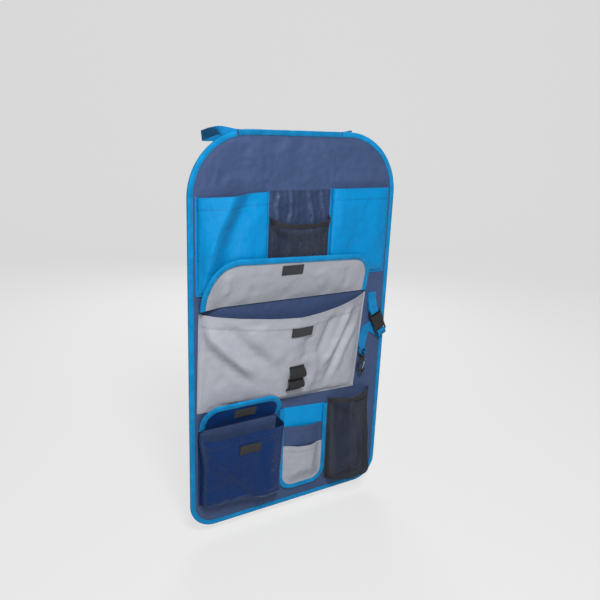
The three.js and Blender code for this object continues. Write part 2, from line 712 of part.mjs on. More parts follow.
function makeMainPocket() {
  const flap = {
    left: FLAP_LEFT, right: FLAP_RIGHT, fold: FLAP_FOLD, top: FLAP_TOP, tilt: FLAP_TOP_TILT,
    radii: [FLAP_RIGHT_RADIUS, FLAP_LEFT_RADIUS], crown: FLAP_CROWN, spacing: 20, across: 30, upward: 7,
  };
  const [px, pz] = MAIN_PATCH_CENTRE;
  const mid = LOOP_TOP - LOOP_SEAM;
  const rise = (z) => {
    const down = mid - z;
    if (down <= 0 || down >= 2 * LOOP_PITCH) return 0;
    return LOOP_RISE * Math.abs(Math.sin((Math.PI * down) / LOOP_PITCH)) ** 0.7;
  };
  const loops = seated(mainPocket, px - LOOP_WIDTH / 2, px + LOOP_WIDTH / 2,
    mid - 2 * LOOP_PITCH - LOOP_SEAM, LOOP_TOP, CLOTH, 2, 27, rise);
  return [
    named("main_pocket", mainPocket.geometry(28, 10), fabric(colours.grey, 0.5)),
    ...makeFlap("main_flap", flap, mainFlapSurface, fabric(colours.grey, 0.5)),
    named("main_flap_patch", patchOn(mainFlapSurface, FLAP_PATCH_CENTRE, PATCH_WIDTH, PATCH_HEIGHT),
      fabric(colours.black, 0.95)),
    named("main_pocket_patch", seated(mainPocket, px - PATCH_WIDTH / 2, px + PATCH_WIDTH / 2,
      pz - PATCH_HEIGHT / 2, pz + PATCH_HEIGHT / 2, PATCH_THICKNESS, 6, 2), fabric(colours.black, 0.95)),
    named("elastic_loops", loops, fabric(colours.black, 0.8)),
  ];
}

// Lower row
const lowerLeft = new Pocket({
  left: LOWER_LEFT, right: LOWER_RIGHT, foot: LOWER_BOTTOM, footTilt: LOWER_BOTTOM_TILT,
  mouth: LOWER_MOUTH, mouthTilt: LOWER_MOUTH_TILT,
  mouthDepth: LOWER_DEPTH, footDepth: LOWER_FOOT_DEPTH, boxy: LOWER_ARCH, footRound: 0.06,
});
const lowerFlapSurface = flapSurface(LOWER_FLAP_FOLD, LOWER_FLAP_TOP, LOWER_LEFT, LOWER_RIGHT,
  LOWER_FLAP_LEAN, LOWER_FLAP_LEAN, 0, 1);
const drink = new Pocket({
  left: DRINK_LEFT, right: DRINK_RIGHT, foot: DRINK_BOTTOM, hang: DRINK_HANG, mouth: DRINK_MOUTH, mouthTilt: DRINK_MOUTH_TILT,
  mouthDepth: DRINK_DEPTH, footDepth: DRINK_FOOT_DEPTH, boxy: DRINK_ARCH, boxyTop: DRINK_ARCH_TOP, footRound: 0.14,
});

function makeLowerLeft() {
  const flap = {
    left: LOWER_LEFT - SEAM_LAP, right: LOWER_RIGHT + SEAM_LAP, fold: LOWER_FLAP_FOLD, top: LOWER_FLAP_TOP,
    tilt: 0, radii: [LOWER_FLAP_RADIUS, LOWER_FLAP_RADIUS], across: 18, upward: 4,
  };
  const [px, pz] = LOWER_PATCH_CENTRE;
  const flapPatch = [px, (LOWER_FLAP_FOLD + LOWER_FLAP_TOP) / 2];
  return [
    named("lower_left_pocket", lowerLeft.geometry(16, 7), fabric(colours.navy, 0.5)),
    ...makeFlap("lower_left_flap", flap, lowerFlapSurface, fabric(colours.navy, 0.55)),
    named("lower_pocket_patch", seated(lowerLeft, px - PATCH_WIDTH / 2, px + PATCH_WIDTH / 2,
      pz - PATCH_HEIGHT / 2, pz + PATCH_HEIGHT / 2, PATCH_THICKNESS, 4, 2), fabric(colours.black, 0.95)),
    named("lower_flap_patch", patchOn(lowerFlapSurface, flapPatch, PATCH_WIDTH, PATCH_HEIGHT),
      fabric(colours.black, 0.95)),
  ];
}

function makeTier() {
  const inset = edgeInset;
  const left = TIER_LEFT + inset;
  const right = TIER_RIGHT - inset;
  const foot = TIER_BOTTOM + inset;
  const centre = (left + right) / 2;
  const sheetLap = CLOTH + GAP;
  const radius = TIER_CORNER_RADIUS - inset;
  // Height of the rounded foot at a place across the tier
  const footAt = (x) => {
    const over = Math.max(Math.abs(x - centre) - ((right - left) / 2 - radius), 0);
    return foot + radius - Math.sqrt(Math.max(radius ** 2 - over ** 2, 0));
  };
  const flat = TIER_TAPE_REACH + 2;
  const slope = TIER_SLOPE;
  const tilted = (x) => (TIER_TILT * (x - centre)) / ((right - left) / 2);
  const steps = [0, flat / 2, flat, flat + slope / 3, flat + (2 * slope) / 3, flat + slope];
  const wide = right - left;
  const across = [...steps, wide / 2, ...steps.map((d) => wide - d).reverse()];
  // Distance from the rounded outline of a place a given way in from a side and up from the foot
  const fromOutline = (aside, up) => {
    if (aside > radius || up > radius) return Math.min(aside, up);
    return Math.min(aside, up, radius - Math.hypot(radius - aside, radius - up));
  };
  const tierLayer = (order, mouth, stand) => {
    const high = mouth - foot;
    const upward = [...steps, (flat + slope + high) / 2, high];
    const rows = upward.map((up, i) => across.map((aside) => {
      const x = left + aside;
      const z = Math.max(foot + up, footAt(x) + i) + (tilted(x) * up) / high;
      const inward = fromOutline(Math.min(aside, wide - aside), z - foot);
      const swell = stand * THREE.MathUtils.smoothstep(inward, flat + 1, flat + slope);
      return new THREE.Vector3(x, layer - order * sheetLap - swell, z);
    }));
    return sheet(rows, CLOTH);
  };
  const stack = 3 * CLOTH + 2 * GAP;
  const corners = [[left, TIER_TOP - TIER_TILT], [left, foot], [right, foot], [right, TIER_TOP + TIER_TILT]];
  const stations = roundedPath(corners.map(([x, z]) => new THREE.Vector2(x, z)), [radius, radius], 9 * degrees);
  const reach = TIER_TAPE_REACH;
  const front = layer + CLOTH / 2 - stack - GAP;
  const wall = TAPE + GAP + stack;
  const tape = [[reach, 0], [-GAP - TAPE, 0], [-GAP - TAPE, wall], [-GAP, wall], [-GAP, TAPE], [reach, TAPE]]
    .map(([a, b]) => new THREE.Vector2(a, b));
  const sections = stations.map(({ point, normal }) => tape.map((p) => {
    const spot = point.clone().addScaledVector(normal, p.x);
    return new THREE.Vector3(spot.x, front - TAPE + p.y, spot.y);
  }));
  return [
    named("tier_backing", tierLayer(0, TIER_TOP, 0), fabric(colours.blue, 0.55)),
    named("tier_rear_pocket", tierLayer(1, TIER_REAR_MOUTH, TIER_STEP), fabric(colours.navy, 0.55)),
    named("tier_front_pocket", tierLayer(2, TIER_FRONT_MOUTH, 2 * TIER_STEP), fabric(colours.grey, 0.5)),
    named("tier_binding", loft(sections, tape), fabric(colours.tape, 0.6)),
  ];
}

function makeDrinkPocket() {
  return [
    named("lower_net_pocket", drink.geometry(14, 7), fabric(colours.net, 0.8)),
    named("lower_net_elastic", mouthElastic(drink, ELASTIC_HEIGHT, CLOTH, 16), fabric(colours.black, 0.8)),
  ];
}

// Side-release buckle. Its own frame: the socket's bar at the origin, length toward -Z, thickness along Y
const halfBuckle = BUCKLE_WIDTH / 2;
const halfSlot = SLOT_WIDTH / 2;
const socketMouth = BAR_RADIUS - SOCKET_LENGTH;

function makeSocketGeometry() {
  const half = halfBuckle;
  const deep = BUCKLE_THICKNESS;
  const shell = plate(roundedRectangle(-half, half, socketMouth, BAR_RADIUS, 3), deep, deep / 2);
  const inner = half - CAVITY_WALL;
  const windowFoot = socketMouth + WINDOW_FOOT;
  const low = CAVITY_HEIGHT / 2;
  const barTop = BAR_RADIUS + 1;
  const cuts = [
    block(-halfSlot, halfSlot, -deep, deep, -BAR_RADIUS - SLOT_LENGTH, -BAR_RADIUS),
    block(-inner, inner, -low, low, socketMouth - 1, socketMouth + CAVITY_DEPTH),
    block(-half - 1, half + 1, -low, low, windowFoot, windowFoot + WINDOW_HEIGHT),
    block(-halfSlot, halfSlot, -deep, -BAR_RADIUS, -barTop, barTop),
    block(-halfSlot, halfSlot, BAR_RADIUS, deep, -barTop, barTop),
  ];
  return meshed(cuts.reduce((body, cut) => body.subtract(solid(cut)), solid(shell)));
}

function makePlugGeometry() {
  const half = halfBuckle;
  const base = socketMouth - GAP;
  const inner = half - CAVITY_WALL - GAP;
  const catchFoot = socketMouth + WINDOW_FOOT + GAP;
  const armTop = catchFoot + WINDOW_HEIGHT - 2 * GAP;
  const root = base + 1.5;
  const end = -PLUG_BAR - BAR_RADIUS;
  // Right half of the outline: tongue, inner side of the arm, its catch, shoulder and foot
  const right = [
    [2.2, armTop], [2.2, root], [inner - 3, root], [inner - 3, armTop - 1.5], [inner - 1, armTop],
    [half, catchFoot + 2], [half, catchFoot], [inner, catchFoot], [inner, base], [half, base],
    [half, end + 2.4], [half - 2.4, end],
  ];
  const outline = [...right, ...right.map(([x, z]) => [-x, z]).reverse()].map(([x, z]) => new THREE.Vector2(x, z));
  const slotFoot = -PLUG_BAR + BAR_RADIUS;
  const slot = [
    [-halfSlot, slotFoot], [-halfSlot, slotFoot + SLOT_LENGTH], [halfSlot, slotFoot + SLOT_LENGTH], [halfSlot, slotFoot],
  ].map(([x, z]) => new THREE.Vector2(x, z));
  return plate(outline, PLUG_THICKNESS, PLUG_THICKNESS / 2, [slot]);
}

// Run of a strap round a bar: [distance from the bar, depth] pairs, in along one face and back along the other
const wrapRadius = BAR_RADIUS * Math.SQRT2 + GAP + WEBBING / 2;
const halfSpread = (WEBBING + GAP) / 2;

function wrap(stops, spreadAt) {
  const steps = 6;
  const front = stops.map((l) => [l, -spreadAt(l)]);
  const turn = [];
  for (let k = 0; k <= steps; k++) {
    const angle = (k / steps) * Math.PI;
    turn.push([-wrapRadius * Math.sin(angle), -wrapRadius * Math.cos(angle)]);
  }
  return [...front, ...turn, ...front.map(([l, y]) => [l, -y]).reverse()];
}

// Key leash
const leashTilt = LEASH_TILT * degrees;
const leashDown = new THREE.Vector2(Math.sin(leashTilt), -Math.cos(leashTilt));
const leashAcross = new THREE.Vector2(Math.cos(leashTilt), Math.sin(leashTilt));
const leashTurn = new THREE.Vector2(LEASH_X, LEASH_TOP - LEASH_DROP);
const socketBar = leashTurn.clone().addScaledVector(leashDown, LEASH_RUN);
const plugBar = socketBar.clone().addScaledVector(leashDown, PLUG_BAR);
const leashLayer = panelFront - GAP - WEBBING / 2;
const buckleMiddle = panelFront - 3 * (WEBBING + GAP) - BUCKLE_THICKNESS / 2;

function makeUpperLeash() {
  const climb = LEASH_RUN + LEASH_DROP;
  const sewn = climb - LEASH_SEAM;
  const sewnDepth = leashLayer - halfSpread;
  const place = (aside, y, l) => {
    const tilt = leashTilt * (1 - THREE.MathUtils.clamp((l - LEASH_RUN) / (sewn - LEASH_RUN), 0, 1));
    const spot = l < LEASH_RUN
      ? socketBar.clone().addScaledVector(leashDown, -l)
      : new THREE.Vector2(LEASH_X, leashTurn.y + l - LEASH_RUN);
    const depth = THREE.MathUtils.lerp(buckleMiddle, sewnDepth, THREE.MathUtils.clamp((l - 2) / (sewn - 2), 0, 1));
    return new THREE.Vector3(spot.x + aside * Math.cos(tilt), depth + y, spot.y + aside * Math.sin(tilt));
  };
  const spreadAt = (l) => THREE.MathUtils.lerp(wrapRadius, halfSpread, THREE.MathUtils.clamp(l / sewn, 0, 1));
  const half = LEASH_WIDTH / 2;
  const path = wrap([climb, sewn, (sewn + LEASH_RUN) / 2, LEASH_RUN, LEASH_RUN / 2], spreadAt);
  return sheet(path.map(([l, y]) => [-half, 0, half].map((aside) => place(aside, y, l))), WEBBING);
}

// Lower strap: round the plug's bar, back up behind the buckle, folded over, and down to the ring
function makeLowerLeash() {
  const half = LEASH_WIDTH / 2;
  const foldPoint = new THREE.Vector2(...FOLD_POINT);
  const ringJoin = new THREE.Vector2(...RING_JOIN);
  const tail = plugBar.clone().addScaledVector(leashDown, FOLD_TAIL);
  const upward = foldPoint.clone().sub(tail).normalize();
  const downward = ringJoin.clone().sub(foldPoint).normalize();
  const foldLine = upward.clone().add(downward).normalize().negate();
  const upAcross = new THREE.Vector2(-upward.y, upward.x).negate();
  const downAcross = new THREE.Vector2(-downward.y, downward.x);
  const foldHalf = half / Math.abs(foldLine.dot(upAcross));
  const row = (centre, across, reach, y) => [-reach, 0, reach].map((aside) => (
    new THREE.Vector3(centre.x + across.x * aside, y, centre.y + across.y * aside)));
  const along = (l) => plugBar.clone().addScaledVector(leashDown, l);
  const mixed = (share) => leashAcross.clone().lerp(upAcross, share).normalize();
  const path = wrap([FOLD_TAIL, FOLD_TAIL / 2], (l) => THREE.MathUtils.lerp(wrapRadius, halfSpread, l / FOLD_TAIL));
  const rows = path.map(([l, y]) => row(along(l), leashAcross, half, buckleMiddle + y));
  const rear = leashLayer;
  const front = leashLayer - WEBBING - GAP;
  const overTape = rear - TAPE - GAP;
  rows.push(row(along(FOLD_TAIL + 3), mixed(0.3), half, (buckleMiddle + overTape) / 2 + 0.6));
  rows.push(row(tail, mixed(0.7), half, overTape));
  rows.push(row(tail.clone().addScaledVector(upward, 10), upAcross, half, overTape));
  rows.push(row(foldPoint, foldLine, foldHalf, rear));
  rows.push(row(foldPoint.clone().addScaledVector(upward, WEBBING / 2), foldLine, foldHalf, (rear + front) / 2));
  rows.push(row(foldPoint, foldLine, foldHalf, front));
  rows.push(row(foldPoint.clone().lerp(ringJoin, 0.6), downAcross, half, front));
  rows.push(row(ringJoin, downAcross, half * 0.75, front - RING_STAND));
  return sheet(rows, WEBBING);
}

// Narrow tape ring sewn to the lower strap's end; its axis runs along Y
const ringLayer = leashLayer - WEBBING - GAP - RING_STAND;
const ringMiddle = ringLayer - WEBBING / 2 - GAP - RING_WIDTH / 2;
const ringCentre = new THREE.Vector2(RING_JOIN[0] - 1, RING_JOIN[1] - RING_HALF_HEIGHT + 3);

function makeRing() {
  const oval = (shrink) => {
    const points = [];
    const sides = 16;
    for (let k = 0; k < sides; k++) {
      const angle = (k / sides) * 2 * Math.PI;
      points.push(new THREE.Vector2(
        ringCentre.x + (RING_HALF_WIDTH - shrink) * Math.cos(angle),
        ringCentre.y + (RING_HALF_HEIGHT - shrink) * Math.sin(angle),
      ));
    }
    return points;
  };
  return plate(oval(0), RING_WIDTH, ringMiddle + RING_WIDTH / 2, [oval(WEBBING)]);
}

// Snap hook. Its own frame: the eye's bar at the origin, its axis along Y, the hook toward -Z
const eyeFoot = BAR_RADIUS - EYE_HEIGHT;
const collarTop = eyeFoot - GAP;
const collarFoot = eyeFoot - STEM_LENGTH + GAP;
const hookFoot = collarTop - HOOK_RING_LENGTH;
const gatePivot = new THREE.Vector2(HOOK_WIDTH / 2 - HOOK_BAND / 2 - 0.2, collarFoot - 4);

function makeEyeGeometry() {
  const frame = block(-EYE_THICKNESS / 2, EYE_THICKNESS / 2, -EYE_WIDTH / 2, EYE_WIDTH / 2, eyeFoot, BAR_RADIUS);
  const half = RING_WIDTH / 2 + GAP;
  const hole = block(-EYE_THICKNESS, EYE_THICKNESS, -half, half, eyeFoot + 2, -BAR_RADIUS);
  const stem = new THREE.CylinderGeometry(STEM_RADIUS, STEM_RADIUS, STEM_LENGTH + 0.2, 16);
  stem.rotateX(Math.PI / 2);
  stem.translate(0, 0, eyeFoot - STEM_LENGTH / 2 + 0.1);
  const head = new THREE.CylinderGeometry(HEAD_RADIUS, HEAD_RADIUS, HEAD_LENGTH, 16);
  head.rotateX(Math.PI / 2);
  head.translate(0, 0, eyeFoot - STEM_LENGTH - HEAD_LENGTH / 2);
  return meshed(solid(frame).subtract(solid(hole)).add(solid(stem)).add(solid(head)));
}

function makeHookBodyGeometry() {
  const middle = (collarFoot + hookFoot) / 2 + 1;
  const halfHeight = middle - hookFoot;
  const oval = (halfWidth, half) => {
    const points = [];
    const sides = 28;
    for (let k = 0; k < sides; k++) {
      const angle = (k / sides) * 2 * Math.PI;
      points.push(new THREE.Vector2(halfWidth * Math.cos(angle), middle + half * Math.sin(angle)));
    }
    return points;
  };
  const thick = HOOK_THICKNESS;
  const inner = oval(HOOK_WIDTH / 2 - HOOK_BAND, halfHeight - HOOK_BAND);
  const ring = solid(plate(oval(HOOK_WIDTH / 2, halfHeight), thick, thick / 2));
  const collar = solid(block(-HEAD_RADIUS - 1.6, HEAD_RADIUS + 1.6, -thick / 2, thick / 2, collarFoot - 3, collarTop));
  const stemHole = new THREE.CylinderGeometry(STEM_RADIUS + GAP, STEM_RADIUS + GAP, 12, 16);
  stemHole.rotateX(Math.PI / 2);
  stemHole.translate(0, 0, collarTop - 3);
  const headRoom = new THREE.CylinderGeometry(HEAD_RADIUS + GAP, HEAD_RADIUS + GAP, 10, 16);
  headRoom.rotateX(Math.PI / 2);
  headRoom.translate(0, 0, collarFoot - 5);
  const side = HOOK_WIDTH / 2;
  const mouth = block(GATE_WIDTH, side + 1, -thick, thick, gatePivot.y - GATE_LENGTH + 1.5, gatePivot.y - GATE_WIDTH);
  const fork = block(GATE_WIDTH, side + 1, -GATE_THICKNESS / 2 - GAP, GATE_THICKNESS / 2 + GAP,
    gatePivot.y - GATE_WIDTH - 1, gatePivot.y + GATE_WIDTH);
  const pinHole = new THREE.CylinderGeometry(PIN_RADIUS + 0.15, PIN_RADIUS + 0.15, 2 * thick, 12);
  pinHole.translate(gatePivot.x, 0, gatePivot.y);
  return meshed(ring.subtract(solid(plate(inner, thick + 2, thick / 2 + 1))).add(collar)
    .subtract(solid(plate(inner, thick + 2, thick / 2 + 1)).subtract(collar))
    .subtract(solid(stemHole)).subtract(solid(headRoom)).subtract(solid(mouth)).subtract(solid(fork)).subtract(solid(pinHole)));
}

function makeGateGeometry() {
  const { x, y } = gatePivot;
  const half = GATE_WIDTH / 2;
  const tip = y - GATE_LENGTH;
  const nose = x - 3.2;
  const outline = [[x - half, y + half], [x - half, y], [nose - 1.9, tip + 1], [nose - 1.9, tip], [nose, tip],
    [nose, tip + 2], [x + half, y - half], [x + half, y + half]].map(([a, b]) => new THREE.Vector2(a, b));
  const hole = new THREE.CylinderGeometry(PIN_RADIUS + 0.15, PIN_RADIUS + 0.15, 6, 12);
  hole.translate(x, 0, y);
  return meshed(solid(plate(outline, GATE_THICKNESS, GATE_THICKNESS / 2)).subtract(solid(hole)));
}

function makePinGeometry() {
  const pin = new THREE.CylinderGeometry(PIN_RADIUS, PIN_RADIUS, HOOK_THICKNESS, 12);
  pin.translate(gatePivot.x, 0, gatePivot.y);
  return pin;
}

function makeLeash() {
  const buckle = new THREE.Group();
  buckle.position.set(socketBar.x, buckleMiddle, socketBar.y);
  buckle.rotation.y = -leashTilt;
  buckle.add(
    named("leash_socket", makeSocketGeometry(), fabric(colours.black, 0.45)),
    named("leash_plug", makePlugGeometry(), fabric(colours.black, 0.45)),
  );
  const hook = new THREE.Group();
  const barHeight = ringCentre.y - RING_HALF_HEIGHT + WEBBING + 2 * GAP + BAR_RADIUS * Math.SQRT2;
  hook.position.set(ringCentre.x, ringMiddle, barHeight);
  hook.add(
    named("hook_eye", makeEyeGeometry(), fabric(colours.black, 0.4)),
    named("hook_body", makeHookBodyGeometry(), fabric(colours.black, 0.4)),
    named("hook_gate", makeGateGeometry(), fabric(colours.steel, 0.35)),
    named("gate_pin", makePinGeometry(), fabric(colours.steel, 0.35)),
  );
  return [
    named("leash_upper_strap", makeUpperLeash(), fabric(colours.blue, 0.7)),
    named("leash_lower_strap", makeLowerLeash(), fabric(colours.blue, 0.7)),
    named("leash_ring", makeRing(), fabric(colours.blue, 0.7)),
    buckle,
    hook,
  ];
}

// Strap round the posts: it stands on edge, rolls over at the sides and sinks toward its buckle
const strapCentre = (TOP_TAPE_LEFT + TOP_TAPE_RIGHT) / 2;
const strapSewnDepth = TAPE + 2 * GAP + WEBBING / 2;
const strapSocketBar = strapCentre - PLUG_BAR / 2;
const strapPlugBar = strapCentre + PLUG_BAR / 2;
const strapRear = STRAP_MIDDLE - STRAP_REAR_DROP;

function makeStrap(side) {
  const edge = side < 0 ? TOP_TAPE_LEFT : TOP_TAPE_RIGHT;
  const bar = side < 0 ? strapSocketBar : strapPlugBar;
  const outer = edge + side * STRAP_BULGE;
  const start = edge - side * STRAP_SEWN;
  const corners = [[start, strapSewnDepth], [outer, strapSewnDepth], [outer, STRAP_REACH - halfSpread],
    [bar + side * STRAP_LAP, STRAP_REACH - halfSpread]].map(([x, y]) => new THREE.Vector2(x, y));
  const stations = roundedPath(corners, STRAP_CORNERS, 18 * degrees);
  const sideRun = stations.filter(({ point }) => Math.abs(point.x - outer) < 0.01);
  const middleRun = { point: sideRun[0].point.clone().lerp(sideRun[1].point, 0.5), normal: sideRun[0].normal };
  stations.splice(stations.indexOf(sideRun[1]), 0, middleRun);
  const rows = stations.map(({ point, normal }) => {
    const out = THREE.MathUtils.clamp(side * (point.x - edge) / STRAP_BULGE, 0, 1);
    const back = THREE.MathUtils.smoothstep(point.y, strapSewnDepth, STRAP_REACH);
    const roll = STRAP_ROLL * degrees * out * (1 - back) * THREE.MathUtils.smoothstep(point.y, strapSewnDepth, 20);
    const height = STRAP_MIDDLE + STRAP_SIDE_LIFT * out * (1 - back) - STRAP_REAR_DROP * back;
    const inward = normal.clone().multiplyScalar(-side);
    return [-1, 0, 1].map((aside) => {
      const reach = (aside * STRAP_WIDTH) / 2;
      const lean = reach * Math.sin(roll);
      return new THREE.Vector3(point.x + inward.x * lean, point.y + inward.y * lean, height + reach * Math.cos(roll));
    });
  });
  const loop = wrap([STRAP_LAP / 2, STRAP_LAP / 4], (l) => (
    THREE.MathUtils.lerp(wrapRadius, halfSpread, THREE.MathUtils.clamp((4 * l) / STRAP_LAP - 1, 0, 1))));
  for (const [l, y] of loop) {
    rows.push([-1, 0, 1].map((aside) => (
      new THREE.Vector3(bar + side * l, STRAP_REACH + y, strapRear + (aside * STRAP_WIDTH) / 2))));
  }
  return sheet(rows, WEBBING);
}

function makePostStrap() {
  const buckle = new THREE.Group();
  buckle.position.set(strapSocketBar, STRAP_REACH, strapRear);
  buckle.rotation.y = -Math.PI / 2;
  buckle.add(
    named("strap_socket", makeSocketGeometry(), fabric(colours.black, 0.45)),
    named("strap_plug", makePlugGeometry(), fabric(colours.black, 0.45)),
  );
  return [
    named("strap_left", makeStrap(-1), fabric(colours.blue, 0.7)),
    named("strap_right", makeStrap(1), fabric(colours.blue, 0.7)),
    buckle,
  ];
}

const organizer = new THREE.Group();
organizer.add(
  makePanel(), ...makeEdgeTapes(), ...makeUpperRow(), ...makeMainPocket(), ...makeLowerLeft(), ...makeTier(),
  ...makeDrinkPocket(), ...makeLeash(), ...makePostStrap(),
);

export default organizer;
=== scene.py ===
import math

import bmesh
import bpy
import numpy as np
from mathutils import Matrix, Vector


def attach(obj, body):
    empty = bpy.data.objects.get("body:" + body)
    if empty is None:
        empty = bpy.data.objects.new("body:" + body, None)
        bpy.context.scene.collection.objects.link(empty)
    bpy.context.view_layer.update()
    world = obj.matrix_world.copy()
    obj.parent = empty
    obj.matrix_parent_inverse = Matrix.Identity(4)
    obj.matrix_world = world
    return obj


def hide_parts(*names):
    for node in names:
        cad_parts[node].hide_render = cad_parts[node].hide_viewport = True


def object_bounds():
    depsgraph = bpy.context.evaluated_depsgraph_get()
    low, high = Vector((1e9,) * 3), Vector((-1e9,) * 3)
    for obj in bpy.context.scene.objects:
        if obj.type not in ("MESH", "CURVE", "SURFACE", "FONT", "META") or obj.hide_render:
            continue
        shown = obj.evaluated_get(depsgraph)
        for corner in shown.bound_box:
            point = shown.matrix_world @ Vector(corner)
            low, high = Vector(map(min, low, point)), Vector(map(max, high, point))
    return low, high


bl_info = {
    "name": "Pocket Organizer Cloth",
    "version": (1, 0, 0),
    "blender": (4, 5, 0),
    "location": "View3D > Sidebar > Organizer",
    "description": "Sews the cloth, nets, tapes and webbing of a hanging pocket organizer onto its solids",
    "category": "Add Mesh",
}

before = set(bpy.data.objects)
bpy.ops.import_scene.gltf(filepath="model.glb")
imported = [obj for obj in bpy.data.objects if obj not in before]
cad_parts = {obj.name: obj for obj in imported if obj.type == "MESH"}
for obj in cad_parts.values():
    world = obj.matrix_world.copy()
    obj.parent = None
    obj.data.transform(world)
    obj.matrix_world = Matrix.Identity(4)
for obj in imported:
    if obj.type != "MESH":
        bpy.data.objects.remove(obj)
solid_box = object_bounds()

MM = 0.001

# Cloth thicknesses and clearances, the same as the solids have
GAP = 0.3
CURVE_GAP = 0.6
CLOTH = 1.0
TAPE = 1.0
WEBBING = 1.3
PANEL_THICKNESS = 3.0
LAYER = -PANEL_THICKNESS - GAP - CLOTH / 2
EDGE_INSET = GAP + TAPE
TAPE_LAP = 9.5
SEAM_LAP = 4.0

PANEL_HALF_WIDTH = 215 - EDGE_INSET
PANEL_HALF_HEIGHT = 370 - EDGE_INSET
TOP_RADIUS = 114 - EDGE_INSET
BOTTOM_RADIUS = 50 - EDGE_INSET
TOP_TAPE = (-125, 83)

ROW_TOP = 267
ROW_BOTTOM = 104
COLUMN_HALF_WIDTH = 64

# How far each hem's seam runs under its mouth
UPPER_HEM = 21
MAIN_HEM = 22
LOWER_HEM = 17
LOWER_FOOT_SEAM = -311
TIER_HEM = 12
ELASTIC_WIDTH = 9
NET_GRID = 3.0

# A flap's ends, fold and top, how far its top slants and rises toward the middle, and its two corners' radii
FLAP = {"left": -200, "right": 160, "fold": 67, "top": 149, "tilt": -6, "crown": 2, "radii": (42, 74)}
LOWER_FLAP = {"left": -199.5, "right": -33, "fold": -163, "top": -112, "tilt": 0, "crown": 0,
              "radii": (34, 34)}
FLAP_REACH = 9
MAIN_PATCH = (-12, 15)
MAIN_FLAP_PATCH = (-22, 127)
LOWER_PATCH = (-112, -201)
PATCH_SIZE = (44, 18)
PATCH_THICKNESS = 1.6
PATCH_SEAM_INSET = 2.0

TIER = {"left": -30.5, "right": 81, "top": -160, "bottom": -340, "rear_mouth": -201, "front_mouth": -243.5,
        "radius": 34, "tilt": -4.5, "reach": 8.5, "step": 5.5, "slope": 20}

# A crease sharper than this many degrees stays a hard edge in the shading
CLOTH_SHARP_ANGLE = 40
TAPE_SHARP_ANGLE = 50

TIER_DENSE = 40

BUCKLE_BAR = 1.5
PLUG_BAR = 48
LEASH_HALF_WIDTH = 9.5
POST_STRAP_HALF_WIDTH = 8
POST_STRAP_REACH = 112.0


# Folds of the cloth, each as its line on the panel, its width and its height

PANEL_FOLDS = (
    ([(18, 345), (26, 310), (22, 272)], 7, 0.9),
    ([(-95, 340), (-112, 300), (-108, 275)], 9, 0.8),
    ([(96, 340), (90, 300), (98, 275)], 10, -0.8),
)

LEFT_POCKET_ROLL_EDGE = ((-132, 266), (-147, 235), (-162, 205), (-173, 171), (-183, 112))
LEFT_POCKET_FOLDS = (
    ([(-180, 262), (-176, 245), (-172, 226)], 4, 1.4),
    ([(-100, 256), (-112, 190), (-120, 130)], 22, 2.2),
)

RIGHT_POCKET_FOLDS = (
    ([(176, 262), (170, 220), (176, 150)], 12, 2.4),
    ([(120, 250), (128, 200), (118, 130)], 18, -2.4),
    ([(84, 262), (88, 230), (86, 180)], 8, 1.8),
    ([(150, 262), (144, 220), (150, 160)], 9, -1.2),
)

COLUMN_FOLDS = (
    ([(14, 268), (22, 246), (29, 217), (26, 180)], 4, 2.8),
    ([(44, 268), (49, 243), (55, 215), (52, 190)], 4, 2.6),
    ([(-42, 270), (-48, 240), (-42, 205)], 5, 2.2),
    ([(-14, 262), (-18, 236), (-10, 196)], 6, 1.6),
)

MAIN_DIAGONAL = ((-196, 46), (-182, 22), (-170, 6), (-148, -18), (-120, -45), (-88, -76), (-60, -112))
MAIN_FOLDS = (
    ([(-193, 42), (-182, 22), (-170, 6), (-148, -18), (-120, -45), (-88, -70)], 10, 5.5),
    ([(-192, 4), (-176, -14), (-152, -38), (-122, -66), (-96, -88)], 12, -3.0),
    ([(-110, 30), (-80, -6), (-36, -46)], 20, 4.0),
    ([(-160, 44), (-132, 12), (-96, -24), (-66, -50)], 12, -4.0),
    ([(14, 34), (6, -10), (8, -54), (20, -100)], 11, -5.0),
    ([(30, -34), (34, -80), (26, -122)], 9, 3.6),
    ([(66, 40), (50, -4), (36, -50)], 10, -5.5),
    ([(118, 50), (98, 19), (84, -16), (62, -53), (48, -80)], 9, 7.0),
    ([(126, 20), (100, -28), (82, -70), (62, -116)], 10, -6.0),
    ([(134, 6), (104, -50), (84, -100)], 8, 3.6),
)

MAIN_FLAP_FOLDS = (
    ([(-150, 132), (-146, 108), (-150, 84)], 7, 2.0),
    ([(-96, 132), (-92, 104), (-98, 80)], 9, -1.8),
    ([(40, 128), (52, 104), (44, 80)], 12, 1.6),
    ([(100, 124), (106, 100), (100, 78)], 8, -1.6),
)

LOWER_POCKET_FOLDS = (
    ([(-190, -192), (-145, -246), (-88, -312)], 6, 1.6),
    ([(-60, -190), (-66, -240), (-58, -300)], 12, 2.0),
    ([(-86, -196), (-90, -236), (-80, -280)], 10, -1.6),
    ([(-176, -300), (-140, -304), (-100, -300)], 6, 1.2),
)

TIER_FOLDS = (
    ([(-22, -226), (-20, -262), (-16, -304)], 5, 1.3),
    ([(56, -246), (48, -272), (40, -300)], 5, 1.3),
    ([(-2, -250), (3, -280), (6, -306)], 6, -1.0),
    ([(24, -248), (27, -280), (24, -312)], 7, 0.8),
)

DRINK_NET_FOLDS = (
    ([(98, -170), (94, -230), (100, -300)], 7, 2.0),
    ([(168, -165), (172, -230), (168, -310)], 7, 2.0),
    ([(132, -160), (128, -220), (136, -300)], 12, -1.6),
)


# Numbers a user may change

COLOUR = {"subtype": "COLOR", "size": 4, "min": 0, "max": 1}
LENGTH = {"subtype": "DISTANCE", "unit": "LENGTH"}


